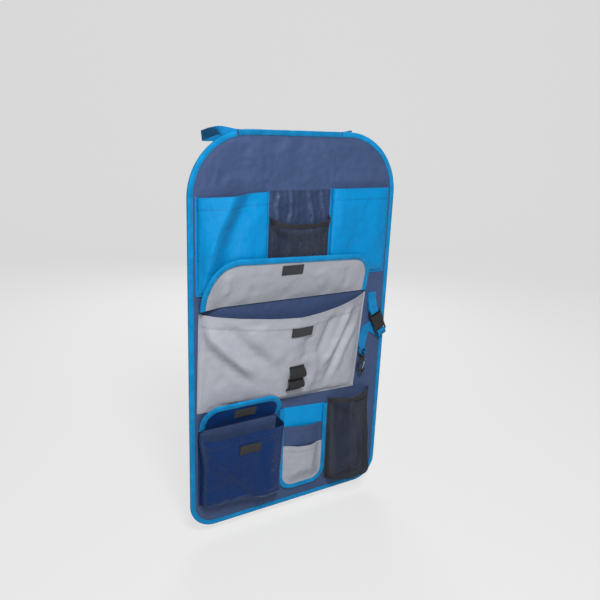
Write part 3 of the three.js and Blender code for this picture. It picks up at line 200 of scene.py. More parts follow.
class ClothSettings(bpy.types.PropertyGroup):
    navy: bpy.props.FloatVectorProperty(
        name="Navy", description="Colour of the panel's cloth",
        default=(0.038, 0.062, 0.138, 1), **COLOUR)
    deep_navy: bpy.props.FloatVectorProperty(
        name="Deep navy", description="Colour of the lower pocket's coated cloth",
        default=(0.001, 0.019, 0.090, 1), **COLOUR)
    blue: bpy.props.FloatVectorProperty(
        name="Blue", description="Colour of the upper pockets",
        default=(0.0, 0.195, 0.460, 1), **COLOUR)
    grey: bpy.props.FloatVectorProperty(
        name="Grey", description="Colour of the main pocket",
        default=(0.318, 0.330, 0.372, 1), **COLOUR)
    weave_pitch: bpy.props.FloatProperty(
        name="Weave pitch", description="Distance between threads",
        default=0.0007, min=0.0002, max=0.005, precision=5, **LENGTH)
    crinkle: bpy.props.FloatProperty(
        name="Crinkle depth", description="Height of the small creases in the coated cloth",
        default=0.0005, min=0.0, max=0.003, precision=5, **LENGTH)
    grid: bpy.props.FloatProperty(
        name="Grid", description="Distance between points of the cloth",
        default=0.0025, min=0.001, max=0.01, precision=4, **LENGTH)


class TrimSettings(bpy.types.PropertyGroup):
    tape: bpy.props.FloatVectorProperty(
        name="Tape", description="Colour of the edge tapes",
        default=(0.002, 0.195, 0.440, 1), **COLOUR)
    webbing: bpy.props.FloatVectorProperty(
        name="Webbing", description="Colour of the straps",
        default=(0.002, 0.180, 0.430, 1), **COLOUR)
    fastener: bpy.props.FloatVectorProperty(
        name="Fastener", description="Colour of the hook-and-loop patches",
        default=(0.030, 0.031, 0.034, 1), **COLOUR)
    stitch_length: bpy.props.FloatProperty(
        name="Stitch length", description="Length of one stitch",
        default=0.0032, min=0.001, max=0.01, precision=4, **LENGTH)
    stitch_pitch: bpy.props.FloatProperty(
        name="Stitch pitch", description="Distance from one stitch to the next",
        default=0.0046, min=0.0012, max=0.02, precision=4, **LENGTH)
    thread: bpy.props.FloatProperty(
        name="Thread", description="Thickness of the sewing thread",
        default=0.0008, min=0.0002, max=0.003, precision=5, **LENGTH)


class NetSettings(bpy.types.PropertyGroup):
    colour: bpy.props.FloatVectorProperty(
        name="Net", description="Colour of the nets",
        default=(0.020, 0.021, 0.025, 1), **COLOUR)
    elastic: bpy.props.FloatVectorProperty(
        name="Elastic", description="Colour of the elastic edges",
        default=(0.016, 0.016, 0.019, 1), **COLOUR)
    pitch: bpy.props.FloatProperty(
        name="Net pitch", description="Distance between the holes of a net",
        default=0.0023, min=0.0015, max=0.02, precision=4, **LENGTH)
    upper_thread: bpy.props.FloatProperty(
        name="Upper net thread", description="Width of the upper net's threads",
        default=0.0005, min=0.0001, max=0.003, precision=5, **LENGTH)
    lower_thread: bpy.props.FloatProperty(
        name="Lower net thread", description="Width of the lower net's threads",
        default=0.0007, min=0.0001, max=0.003, precision=5, **LENGTH)


class HardwareSettings(bpy.types.PropertyGroup):
    plastic: bpy.props.FloatVectorProperty(
        name="Plastic", description="Colour of the buckles and the snap hook",
        default=(0.012, 0.012, 0.014, 1), **COLOUR)
    metal: bpy.props.FloatVectorProperty(
        name="Metal", description="Colour of the hook's gate and pin",
        default=(0.60, 0.61, 0.63, 1), **COLOUR)
    rounding: bpy.props.FloatProperty(
        name="Edge rounding", description="Radius of moulded edges",
        default=0.0004, min=0.0, max=0.002, precision=5, **LENGTH)


class StudioSettings(bpy.types.PropertyGroup):
    floor: bpy.props.FloatVectorProperty(
        name="Floor", description="Colour of the floor and the backdrop",
        default=(0.45, 0.45, 0.45, 1), **COLOUR)
    drop: bpy.props.FloatProperty(
        name="Floor drop", description="How far the floor lies under the organizer's foot",
        default=0.02, min=0.0, max=1.0, **LENGTH)
    key_power: bpy.props.FloatProperty(
        name="Key light", description="Power of the large light above in front",
        default=41.0, min=0.0, max=500.0)
    fill_power: bpy.props.FloatProperty(
        name="Fill light", description="Power of the low light in front", default=6.0, min=0.0, max=500.0)
    back_power: bpy.props.FloatProperty(
        name="Back light", description="Power of the large light behind", default=30.0, min=0.0, max=500.0)
    sky: bpy.props.FloatProperty(
        name="Sky light", description="Strength of the even light from all round",
        default=0.16, min=0.0, max=3.0)


def settings(group):
    return getattr(bpy.context.scene, group)


# Plain mathematics for cloth

def smoothstep(x, low, high):
    t = np.clip((x - low) / (high - low), 0, 1)
    return t * t * (3 - 2 * t)


def soft_noise(u, v, seed):
    """Smooth noise from -1 to 1 on a lattice one unit wide."""
    table = np.random.default_rng(seed).uniform(-1, 1, (97, 89))
    i, j = np.floor(u).astype(int), np.floor(v).astype(int)
    a, b = u - i, v - j
    a, b = a * a * (3 - 2 * a), b * b * (3 - 2 * b)

    def at(p, q):
        return table[p % 97, q % 89]

    low = at(i, j) * (1 - a) + at(i + 1, j) * a
    high = at(i, j + 1) * (1 - a) + at(i + 1, j + 1) * a
    return low * (1 - b) + high * b


def crinkles(u, v, size, seed):
    """Sharp little creases, as coated cloth keeps them: from -1 to 1."""
    warp = soft_noise(u / (2.1 * size), v / (2.1 * size), seed + 7) * 1.1
    first = 1 - 2 * np.abs(soft_noise(u / size + warp, v / (1.6 * size) - warp, seed))
    second = 1 - 2 * np.abs(soft_noise(v / (0.62 * size) + warp, u / (0.9 * size), seed + 3))
    return 0.65 * first + 0.35 * second


def along_line(x, z, points, width, height, sharp=1.0):
    """A soft ridge or valley along a line of points on the cloth, fading out at both ends."""
    points = np.array(points, float)
    best = np.full(np.shape(x), 1e9)
    share = np.zeros(np.shape(x))
    lengths = np.linalg.norm(np.diff(points, axis=0), axis=1)
    total, walked = lengths.sum(), 0.0
    for a, b, length in zip(points[:-1], points[1:], lengths):
        t = np.clip(((x - a[0]) * (b[0] - a[0]) + (z - a[1]) * (b[1] - a[1])) / length**2, 0, 1)
        d = np.hypot(x - a[0] - t * (b[0] - a[0]), z - a[1] - t * (b[1] - a[1]))
        nearer = d < best
        best = np.where(nearer, d, best)
        share = np.where(nearer, (walked + t * length) / total, share)
        walked += length
    fade = smoothstep(share, 0, 0.25) * (1 - smoothstep(share, 0.75, 1))
    return height * np.exp(-((best / width) ** 2) ** sharp) * (0.15 + 0.85 * fade)


def creases(x, z, folds):
    """Ridges and valleys laid over each other, from rows of points, width and height."""
    return sum(along_line(x, z, *fold) for fold in folds)


def normals_of(grid):
    across = np.gradient(grid, axis=1)
    up = np.gradient(grid, axis=0)
    normal = np.cross(across, up)
    return normal / np.maximum(np.linalg.norm(normal, axis=2, keepdims=True), 1e-12)


def unit(vectors):
    """Vectors of the same directions and of length one."""
    return vectors / np.linalg.norm(vectors, axis=-1, keepdims=True)


def walked_along(line):
    """Distance walked from a line's first point to each of its points."""
    return np.concatenate([[0], np.cumsum(np.linalg.norm(np.diff(line, axis=0), axis=1))])


def lengths_along(grid):
    """Distance walked across the middle row and up the middle column, for a weave of even scale."""
    return walked_along(grid[len(grid) // 2]), walked_along(grid[:, grid.shape[1] // 2])


# Meshes

def in_scene(name, data):
    """A new object of the scene that shows this data."""
    item = bpy.data.objects.new(name, data)
    bpy.context.scene.collection.objects.link(item)
    return item


def new_object(name, vertices, faces, material, node=None, uv=None):
    """A smooth piece of the panel's body from points in millimetres, in place of a solid if one is named."""
    mesh = bpy.data.meshes.new(name)
    vertices = np.asarray(vertices, np.float32) * MM
    faces = np.asarray(faces, np.int32)
    sides = faces.shape[1]
    mesh.vertices.add(len(vertices))
    mesh.vertices.foreach_set("co", vertices.ravel())
    mesh.loops.add(faces.size)
    mesh.loops.foreach_set("vertex_index", faces.ravel())
    mesh.polygons.add(len(faces))
    mesh.polygons.foreach_set("loop_start", np.arange(0, faces.size, sides, dtype=np.int32))
    mesh.update(calc_edges=True)
    mesh.validate()
    if uv is not None:
        layer = mesh.uv_layers.new(name="Weave")
        layer.data.foreach_set("uv", (np.asarray(uv, np.float32)[faces.ravel()] * MM).ravel())
    mesh.shade_smooth()
    mesh.set_sharp_from_angle(angle=math.radians(CLOTH_SHARP_ANGLE))
    piece = in_scene(name, mesh)
    mesh.materials.append(material)
    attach(piece, "panel")
    if node:
        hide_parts(node)
    return piece


def two_sided(rows, columns):
    """Faces of a closed sheet of two like grids: its front, its back and the rim between them."""
    k = (np.arange(rows - 1)[:, None] * columns + np.arange(columns - 1)[None]).ravel()
    count = rows * columns
    front = np.column_stack([k, k + 1, k + columns + 1, k + columns])
    back = np.column_stack([k, k + columns, k + columns + 1, k + 1]) + count
    rim = np.concatenate([
        np.arange(columns - 1), np.arange(rows - 1) * columns + columns - 1,
        (rows - 1) * columns + np.arange(columns - 1, 0, -1), np.arange(rows - 1, 0, -1) * columns])
    after = np.roll(rim, -1)
    return np.concatenate([front, back, np.column_stack([after, rim, rim + count, after + count])])


def cloth_sheet(name, grid, thickness, material, node, uv=None):
    """A sheet of even thickness about a grid of points, its front where the grid's normals point."""
    grid = np.asarray(grid, float)
    normal = normals_of(grid) * thickness / 2
    vertices = np.concatenate([(grid + normal).reshape(-1, 3), (grid - normal).reshape(-1, 3)])
    if uv is None:
        uv = np.stack(np.meshgrid(*lengths_along(grid)), axis=-1)
    uv = np.tile(np.asarray(uv).reshape(-1, 2), (2, 1))
    return new_object(name, vertices, two_sided(*grid.shape[:2]), material, node, uv)


def swept(name, sections, material, node):
    """Like closed sections joined one after the other, the two end ones capped."""
    sections = np.asarray(sections, float)
    count, size = sections.shape[:2]
    i, j = np.meshgrid(np.arange(count - 1), np.arange(size), indexing="ij")
    a = (i * size + j).ravel()
    b = (i * size + (j + 1) % size).ravel()
    faces = np.column_stack([a, b, b + size, a + size])
    walked = walked_along(sections[:, 0])
    round_it = walked_along(sections[0])
    uv = np.stack(np.meshgrid(round_it, walked), axis=-1).reshape(-1, 2)
    piece = new_object(name, sections.reshape(-1, 3), faces, material, node, uv)
    mesh = bmesh.new()
    mesh.from_mesh(piece.data)
    mesh.verts.ensure_lookup_table()
    last = (count - 1) * size
    for ring in ([mesh.verts[k] for k in range(size)][::-1], [mesh.verts[last + k] for k in range(size)]):
        mesh.faces.new(ring)
    bmesh.ops.triangulate(mesh, faces=[f for f in mesh.faces if len(f.verts) > 4])
    bmesh.ops.recalc_face_normals(mesh, faces=mesh.faces)
    mesh.to_mesh(piece.data)
    mesh.free()
    piece.data.set_sharp_from_angle(angle=math.radians(TAPE_SHARP_ANGLE))


def stitch_row(name, lines, tone):
    """Rows of separate stitches, from lines of points and of the ways that the cloth faces at them."""
    trim = settings("organizer_trim")
    long, pitch, thick = trim.stitch_length / MM, trim.stitch_pitch / MM, trim.thread / MM
    sides = 5
    rings = [(-0.4, 0.8), (0.0, 1.0), (0.4, 0.8)]
    vertices, faces = [], []
    for points, facing in lines:
        points, facing = np.asarray(points, float), np.asarray(facing, float)
        steps = walked_along(points)
        places = np.arange(pitch / 2, steps[-1] - long / 2, pitch)
        if not len(places):
            continue

        def at(where, values):
            return np.column_stack([np.interp(where, steps, values[:, k]) for k in range(3)])

        middle, facings = at(places, points), at(places, facing)
        facings = unit(facings)
        ahead = at(np.clip(places + long / 2, 0, steps[-1]), points)
        ahead -= at(np.clip(places - long / 2, 0, steps[-1]), points)
        ahead = unit(ahead)
        aside = np.cross(ahead, facings)
        for place, run, side, out in zip(middle, ahead, aside, facings):
            first = len(vertices)
            for share, girth in rings:
                for k in range(sides):
                    angle = 2 * math.pi * k / sides
                    lift = thick * 0.5 * girth
                    vertices.append(place + run * share * long + side * math.cos(angle) * lift
                                    + out * (math.sin(angle) * lift * 0.8 + 0.12 * thick * girth))
            vertices.append(place - run * long / 2 - out * thick * 0.35)
            vertices.append(place + run * long / 2 - out * thick * 0.35)
            near, far = len(vertices) - 2, len(vertices) - 1
            for k in range(sides):
                after = (k + 1) % sides
                for ring in (0, 1):
                    a, b = first + ring * sides + k, first + ring * sides + after
                    faces.append((a, b, b + sides))
                    faces.append((a, b + sides, a + sides))
                faces.append((near, first + after, first + k))
                faces.append((far, first + 2 * sides + k, first + 2 * sides + after))
    new_object(name, vertices, faces, threads_for(tone))


def facing_front(count):
    """Facings of a seam whose cloth looks straight out of the panel."""
    return np.tile([0.0, -1.0, 0.0], (count, 1))


def seam_on(grid, row=None, column=None, lift=CLOTH / 2, start=0.0, end=1.0):
    """A seam's points and facings along one row or column of a cloth grid."""
    facing = normals_of(grid)
    line, out = (grid[:, column], facing[:, column]) if row is None else (grid[row], facing[row])
    low, high = int(start * (len(line) - 1)), int(end * (len(line) - 1)) + 1
    return line[low:high] + out[low:high] * lift, out[low:high]


def seam_under(grid, depth, start=0.02, end=0.98):
    """A seam that runs a set depth under a cloth's upper edge."""
    facing = normals_of(grid)
    first, last = int(start * (grid.shape[1] - 1)), int(end * (grid.shape[1] - 1)) + 1
    points, out = [], []
    for k in range(first, last):
        heights = grid[:, k, 2]
        row = np.interp(heights[-1] - depth, heights, np.arange(len(heights)))
        low = min(int(row), len(heights) - 2)
        share = row - low
        points.append(grid[low, k] * (1 - share) + grid[low + 1, k] * share + facing[low, k] * CLOTH / 2)
        out.append(facing[low, k])
    return np.array(points), np.array(out)


# Materials

def new_material(name):
    """An empty material of this name with its shader, made anew if there is one already."""
    material = bpy.data.materials.get(name) or bpy.data.materials.new(name)
    material.use_nodes = True
    nodes = material.node_tree.nodes
    nodes.clear()
    shader = nodes.new("ShaderNodeBsdfPrincipled")
    output = nodes.new("ShaderNodeOutputMaterial")
    material.node_tree.links.new(shader.outputs["BSDF"], output.inputs["Surface"])
    return material, shader


def toned(colour, factor):
    """A colour made darker or paler."""
    return [min(c * factor, 1) for c in colour[:3]] + [1]


def math_node(material, operation, first, second=None, clamp=False):
    node = material.node_tree.nodes.new("ShaderNodeMath")
    node.operation = operation
    node.use_clamp = clamp
    for socket, value in zip(node.inputs, (first, second)):
        if value is None:
            continue
        if isinstance(value, (int, float)):
            socket.default_value = value
        else:
            material.node_tree.links.new(value, socket)
    return node.outputs[0]


def weave_axes(material):
    """The cloth's own places across and along its threads."""
    nodes = material.node_tree.nodes
    where = nodes.new("ShaderNodeUVMap")
    where.uv_map = "Weave"
    split = nodes.new("ShaderNodeSeparateXYZ")
    material.node_tree.links.new(where.outputs["UV"], split.inputs[0])
    return split.outputs["X"], split.outputs["Y"]


def summed(material, *parts):
    """Patterns laid over each other, each with its share, kept between 0 and 1."""
    total = None
    for number, (pattern, share) in enumerate(parts, 1):
        part = pattern if share == 1 else math_node(material, "MULTIPLY", pattern, share)
        total = part if total is None else math_node(material, "ADD", total, part, clamp=number == len(parts))
    return total


def wave(material, axis, pitch):
    return math_node(material, "SINE", math_node(material, "MULTIPLY", axis, 2 * math.pi / pitch))


def noise_node(material, vector, scale, detail, roughness=0.5):
    node = material.node_tree.nodes.new("ShaderNodeTexNoise")
    node.inputs["Scale"].default_value = scale
    node.inputs["Detail"].default_value = detail
    node.inputs["Roughness"].default_value = roughness
    material.node_tree.links.new(vector, node.inputs["Vector"])
    return node.outputs[0]


def object_place(material):
    return material.node_tree.nodes.new("ShaderNodeTexCoord").outputs["Object"]


def tinted(material, shader, colour, factor, spread):
    """Colour that wavers between a darker and a paler tone of itself."""
    mix = material.node_tree.nodes.new("ShaderNodeMix")
    mix.data_type = "RGBA"
    darker = [max(c * (1 - spread), 0) for c in colour[:3]] + [1]
    paler = [min(c * (1 + spread) + 0.02 * spread, 1) for c in colour[:3]] + [1]
    mix.inputs["A"].default_value = darker
    mix.inputs["B"].default_value = paler
    material.node_tree.links.new(factor, mix.inputs["Factor"])
    material.node_tree.links.new(mix.outputs["Result"], shader.inputs["Base Color"])


def bumped(material, shader, layers):
    """Relief from (height, distance, strength) layers, each on top of the one before."""
    normal = None
    for height, distance, strength in layers:
        bump = material.node_tree.nodes.new("ShaderNodeBump")
        bump.inputs["Distance"].default_value = distance
        bump.inputs["Strength"].default_value = strength
        material.node_tree.links.new(height, bump.inputs["Height"])
        if normal is not None:
            material.node_tree.links.new(normal, bump.inputs["Normal"])
        normal = bump.outputs["Normal"]
    material.node_tree.links.new(normal, shader.inputs["Normal"])


def roughened(material, shader, pattern, span, roughness):
    """Roughness that follows a pattern's span from a lower to a higher limit."""
    node = material.node_tree.nodes.new("ShaderNodeMapRange")
    for socket, number in zip(node.inputs[1:5], (*span, *roughness)):
        socket.default_value = number
    material.node_tree.links.new(pattern, node.inputs[0])
    material.node_tree.links.new(node.outputs[0], shader.inputs["Roughness"])


def glossed(shader, colour, level, own=0.7):
    """A weak shine that takes on some of the cloth's own colour."""
    brightest = max(colour[:3])
    shader.inputs["Specular IOR Level"].default_value = level
    shader.inputs["Specular Tint"].default_value = [1 - own + own * c / brightest for c in colour[:3]] + [1]


def soft_finish(shader, colour, roughness, sheen, gloss, own):
    """The even roughness, sheen and shine of yarn."""
    shader.inputs["Roughness"].default_value = roughness
    shader.inputs["Sheen Weight"].default_value = sheen
    glossed(shader, colour, gloss, own)


def coated_cloth(name, colour, roughness=(0.38, 0.52), spread=0.16, crease=1.0, gloss=0.25):
    """Plain-woven polyester with a thin coating: fine weave, soft sheen and pressed-in creases."""
    material, shader = new_material(name)
    pitch = settings("organizer_cloth").weave_pitch
    across, up = weave_axes(material)
    threads = math_node(material, "MULTIPLY", wave(material, across, pitch), wave(material, up, pitch))
    place = object_place(material)
    cloudy = noise_node(material, place, 9.0, 2.0)
    mottled = noise_node(material, place, 70.0, 4.0, roughness=0.65)
    tinted(material, shader, colour, summed(material, (cloudy, 0.6), (mottled, 0.4), (threads, 0.10)), spread)
    pressed = noise_node(material, place, 30.0, 3.0, roughness=0.45)
    roughened(material, shader, mottled, (0.3, 0.7), roughness)
    bumped(material, shader, [(pressed, 0.0060 * crease, 0.5), (mottled, 0.0010 * crease, 0.35),
                              (threads, 0.00006, 0.5)])
    glossed(shader, colour, gloss)
    shader.inputs["Sheen Weight"].default_value = 0.02
    shader.inputs["Sheen Roughness"].default_value = 0.4
    return material


def woven_tape(name, colour):
    """Grosgrain tape: ribs across its length, and blotches of paler and darker tone that are partly painted
    highlight.
    """
    material, shader = new_material(name)
    across, along = weave_axes(material)
    ribs = wave(material, along, 0.0011)
    threads = wave(material, across, 0.0006)
    place = object_place(material)
    # Random blotches of tone, widened to stand partly for the puckered tape's highlights: partly painted
    # highlight.
    worn = noise_node(material, place, 55.0, 4.0, roughness=0.6)
    tinted(material, shader, colour, summed(material, (worn, 1), (ribs, 0.16)), 0.45)
    soft_finish(shader, colour, 0.55, 0.02, 0.25, 1.0)
    pucker = noise_node(material, place, 130.0, 2.0)
    bumped(material, shader, [(pucker, 0.0009, 0.4), (ribs, 0.00018, 0.6), (threads, 0.00005, 0.4)])
    return material


def strap_webbing(name, colour):
    """Heavy webbing with a herringbone of thick yarns, turned at the middle of its width."""
    material, shader = new_material(name)
    across, along = weave_axes(material)
    fold = math_node(material, "ABSOLUTE", math_node(material, "SUBTRACT", across, LEASH_HALF_WIDTH * MM))
    slanted = math_node(material, "ADD", along, math_node(material, "MULTIPLY", fold, 0.8))
    yarns = math_node(material, "MULTIPLY", wave(material, slanted, 0.0016), wave(material, across, 0.0013))
    worn = noise_node(material, object_place(material), 90.0, 4.0)
    tinted(material, shader, colour, summed(material, (worn, 0.8), (yarns, 0.25)), 0.30)
    soft_finish(shader, colour, 0.62, 0.04, 0.25, 0.7)
    bumped(material, shader, [(yarns, 0.00030, 0.7), (worn, 0.0003, 0.3)])
    return material


def ribbed_elastic(name, colour):
    """Woven elastic: lengthwise cords, and small puckers where it draws the cloth in."""
    material, shader = new_material(name)
    across, up = weave_axes(material)
    cords = wave(material, up, 0.0013)
    puckers = wave(material, across, 0.0034)
    fuzz = noise_node(material, object_place(material), 600.0, 2.0)
    tinted(material, shader, colour, summed(material, (fuzz, 0.7), (cords, 0.2)), 0.45)
    soft_finish(shader, colour, 0.7, 0.05, 0.25, 0.0)
    bumped(material, shader, [(puckers, 0.0003, 0.5), (cords, 0.0002, 0.7), (fuzz, 0.0001, 0.5)])
    return material


def net_thread(name, colour):
    """Black filament of the nets, with a faint twist."""
    material, shader = new_material(name)
    twist = noise_node(material, object_place(material), 900.0, 2.0)
    tinted(material, shader, colour, twist, 0.4)
    soft_finish(shader, colour, 0.5, 0.05, 0.3, 0.0)
    bumped(material, shader, [(twist, 0.0002, 0.5)])
    return material


def fastener_pile(name, colour):
    """Loops and little hooks, seen as a fine dark fuzz."""
    material, shader = new_material(name)
    across, up = weave_axes(material)
    fuzz = noise_node(material, object_place(material), 1100.0, 3.0, roughness=0.7)
    rows = math_node(material, "MULTIPLY", wave(material, across, 0.0015), wave(material, up, 0.0013))
    tinted(material, shader, colour, summed(material, (fuzz, 1), (rows, 0.3)), 0.6)
    soft_finish(shader, colour, 0.85, 0.08, 0.2, 0.0)
    bumped(material, shader, [(rows, 0.0004, 0.8), (fuzz, 0.0003, 0.8)])
    return material


def sewing_thread(name, colour):
    """Twisted polyester thread."""
    material, shader = new_material(name)
    twist = noise_node(material, object_place(material), 2500.0, 1.0)
    tinted(material, shader, colour, twist, 0.3)
    shader.inputs["Roughness"].default_value = 0.5
    bumped(material, shader, [(twist, 0.0001, 0.5)])
    return material


def moulded_plastic(name, colour):
    """Tough moulding with a fine eroded grain and scuffed patches of varied tone and shine."""
    material, shader = new_material(name)
    place = object_place(material)
    grain = noise_node(material, place, 2600.0, 2.0)
    scuffs = noise_node(material, place, 160.0, 5.0, roughness=0.7)
    tinted(material, shader, colour, scuffs, 0.35)
    roughened(material, shader, scuffs, (0.35, 0.7), (0.24, 0.42))
    bumped(material, shader, [(grain, 0.00005, 0.5)])
    shader.inputs["Specular IOR Level"].default_value = 0.5
    return material


def plated_metal(name, colour):
    """Bright plating with fine scratches."""
    material, shader = new_material(name)
    scratches = noise_node(material, object_place(material), 500.0, 4.0, roughness=0.7)
    tinted(material, shader, colour, scratches, 0.10)
    roughened(material, shader, scratches, (0.35, 0.7), (0.18, 0.36))
    shader.inputs["Metallic"].default_value = 1.0
    bumped(material, shader, [(scratches, 0.00005, 0.4)])
    return material


def threads_for(tone):
    """Sewing thread in the tone of the cloth that it holds."""
    cloth, trim = settings("organizer_cloth"), settings("organizer_trim")
    colours = {
        "navy": [0.02, 0.028, 0.09, 1],
        "blue": [0.001, 0.035, 0.12, 1],
        "grey": toned(cloth.grey, 0.45),
        "tape": toned(trim.tape, 0.55),
        "black": [0.012, 0.012, 0.013, 1],
    }
    return sewing_thread(f"{tone}_thread", colours[tone])


# Shapes of the pockets

class PocketCloth:
    """A pocket sewn down on both sides and along its foot, its cloth arched away from the panel."""

    def __init__(self, left, right, foot, mouth, mouth_depth, foot_depth, **more):
        self.left, self.right, self.foot, self.mouth = left, right, foot, mouth
        self.mouth_depth, self.foot_depth = mouth_depth, foot_depth
        self.left_top, self.right_top = more.get("left_top", left), more.get("right_top", right)
        self.mouth_tilt, self.foot_tilt = more.get("mouth_tilt", 0.0), more.get("foot_tilt", 0.0)
        self.sag, self.hang, self.boxy = more.get("sag", 0.0), more.get("hang", 0.0), more.get("boxy", 0.5)
        self.boxy_top, self.foot_round = more.get("boxy_top", self.boxy), more.get("foot_round", 0.12)
        self.base = more.get("base", LAYER)

    def span(self, up):
        """Middle and half of the pocket's width, and how square its arch is, at a share of the way up."""
        left = self.left + (self.left_top - self.left) * up
        right = self.right + (self.right_top - self.right) * up
        return (left + right) / 2, (right - left) / 2, self.boxy + (self.boxy_top - self.boxy) * up

    def rounding(self, up):
        return np.sqrt(1 - (1 - np.minimum(up / self.foot_round, 1)) ** 2)

    def depth(self, up):
        return (self.foot_depth + (self.mouth_depth - self.foot_depth) * up) * self.rounding(up)

    def heights(self, across, bulge):
        return self.foot + self.foot_tilt * across, self.mouth + self.mouth_tilt * across - self.sag * bulge

    def point(self, angle, up):
        centre, half, boxy = self.span(up)
        cosine = np.cos(angle)
        bulge = np.clip(np.sin(angle), 0, 1) ** boxy
        across = np.sign(cosine) * np.abs(cosine) ** boxy
        x = centre + half * across
        foot, mouth = self.heights(across, bulge)
        z = foot + (mouth - foot) * up - self.hang * bulge * self.rounding(up) * (1 - up) ** 2
        return np.stack([x, self.base - self.depth(up) * bulge, z], axis=-1)

    def front(self, x, z):
        up = np.clip((z - self.foot) / (self.mouth - self.foot), 0, 1)
        for _ in range(5):
            centre, half, boxy = self.span(up)
            across = np.clip((x - centre) / half, -1, 1)
            bulge = np.clip(np.sin(np.arccos(np.abs(across) ** (1 / boxy))), 0, 1) ** boxy
            foot, mouth = self.heights(across, bulge)
            up = np.clip((z - foot) / (mouth - foot), 0, 1)
        return self.base - self.depth(up) * bulge

    def even_angles(self, count, up=0.7):
        """Angles round the arch that space the cloth's points evenly."""
        fine = np.linspace(math.pi, 0, 4000)
        line = self.point(fine, np.full(fine.shape, up))
        walked = walked_along(line)
        return np.interp(np.linspace(0, walked[-1], count + 1), walked, fine)

    def grid(self, spacing):
        around = self.even_angles(400)
        line = self.point(around, np.full(around.shape, 0.7))
        width = np.linalg.norm(np.diff(line, axis=0), axis=1).sum()
        angles = self.even_angles(max(int(width / spacing), 12))
        height = self.mouth - self.foot
        low = self.foot_round * (1 - np.cos(np.linspace(0, math.pi / 2, 9)[1:]))
        high = np.linspace(self.foot_round, 1, max(int(height * (1 - self.foot_round) / spacing), 12))[1:]
        ups = np.concatenate([[0], low, high])
        a, u = np.meshgrid(angles, ups)
        grid = self.point(a, u)
        laps = []
        for side, sign in ((grid[:, :1], -1), (grid[:, -1:], 1)):
            for share in (0.5, 1.0):
                lap = side.copy()
                lap[..., 0] += sign * share * SEAM_LAP
                lap[..., 1] = self.base
                laps.append(lap)
        grid = np.concatenate([laps[1], laps[0], grid, laps[2], laps[3]], axis=1)
        below = [grid[:1].copy() for _ in range(2)]
        for k, row in enumerate(below):
            row[..., 1] = self.base
            row[..., 2] -= SEAM_LAP * (1 - k / 2)
        return np.concatenate(below + [grid], axis=0)


def pushed(grid, heights):
    """The grid moved along its own normals, in millimetres."""
    return grid + normals_of(grid) * np.asarray(heights)[..., None]


def hem_relief(grid, depth, groove=0.35):
    """Doubled cloth above the hem's seam, a pressed groove at the seam and a rolled upper edge."""
    under = grid[-1:, :, 2] - grid[..., 2]
    raised = 0.35 * (1 - smoothstep(under, depth - 1.2, depth + 0.6))
    pressed = -groove * np.exp(-(((under - depth - 0.4) / 1.5) ** 2))
    lip = 0.3 * np.exp(-((under / 1.6) ** 2))
    return raised + pressed + lip


def seam_fade(grid, pocket, reach=9.0):
    """From 0 at the sewn sides and foot to 1 in the free cloth."""
    across = np.minimum(grid[..., 0] - grid[:, 2:3, 0], grid[:, -3:-2, 0] - grid[..., 0])
    out = pocket.base - grid[..., 1]
    return smoothstep(np.maximum(across, out), 1.0, reach)


ROW_EDGE = 198.0
COLUMN_SIDE = COLUMN_HALF_WIDTH + GAP / 2 + SEAM_LAP

UPPER_LEFT = PocketCloth(-ROW_EDGE, -COLUMN_SIDE, 99, 262.8, 11, 6, boxy=0.45, foot_tilt=5, mouth_tilt=3.7)
UPPER_RIGHT = PocketCloth(COLUMN_SIDE, ROW_EDGE, 106, 269.5, 11, 6, boxy=0.45, foot_tilt=-1, mouth_tilt=0.3)
UPPER_NET = PocketCloth(-60, 60, 108, 222, 24, 6, sag=12, boxy=0.62, boxy_top=0.85, base=LAYER - 2.5)
MAIN = PocketCloth(-197.5, 141, -130.5, 60.4, 52, 13, left_top=-193, right_top=156, foot_tilt=-5,
                   mouth_tilt=1.6, sag=16, boxy=1.5, foot_round=0.06)
LOWER_LEFT = PocketCloth(-195.5, -37, -321, -168.5, 40, 24, foot_tilt=-4, mouth_tilt=-1.8, boxy=0.26,
                         foot_round=0.06)
DRINK = PocketCloth(86, 183, -338, -152, 27.5, 50, mouth_tilt=3, hang=5, boxy=0.65, boxy_top=1.4,
                    foot_round=0.14)


def flap_middle(across):
    """One over most of a flap's width, falling to nothing at its two ends."""
    return 1 - np.minimum(np.abs(2 * across - 1), 1) ** 4


def flap_surface(size, left, right, leans, lean_middle, curl, curl_width):
    fold, top = size["fold"], size["top"]

    def surface(x, z):
        up = np.maximum(z - fold, 0) / (top - fold)
        across = np.clip((x - left) / (right - left), 0, 1)
        lean = leans[0] + (leans[1] - leans[0]) * across + lean_middle * flap_middle(across)
        rolled = curl * (1 - smoothstep(x, left, left + curl_width))
        return LAYER - TAPE - CURVE_GAP - lean * up * (1.3 - 0.3 * up) - rolled
    return surface


MAIN_FLAP_SURFACE = flap_surface(FLAP, FLAP["left"], FLAP["right"], (15, 13), 7, 12, 50)
LOWER_FLAP_SURFACE = flap_surface(LOWER_FLAP, LOWER_LEFT.left, LOWER_LEFT.right, (22, 22), 0, 0, 1)


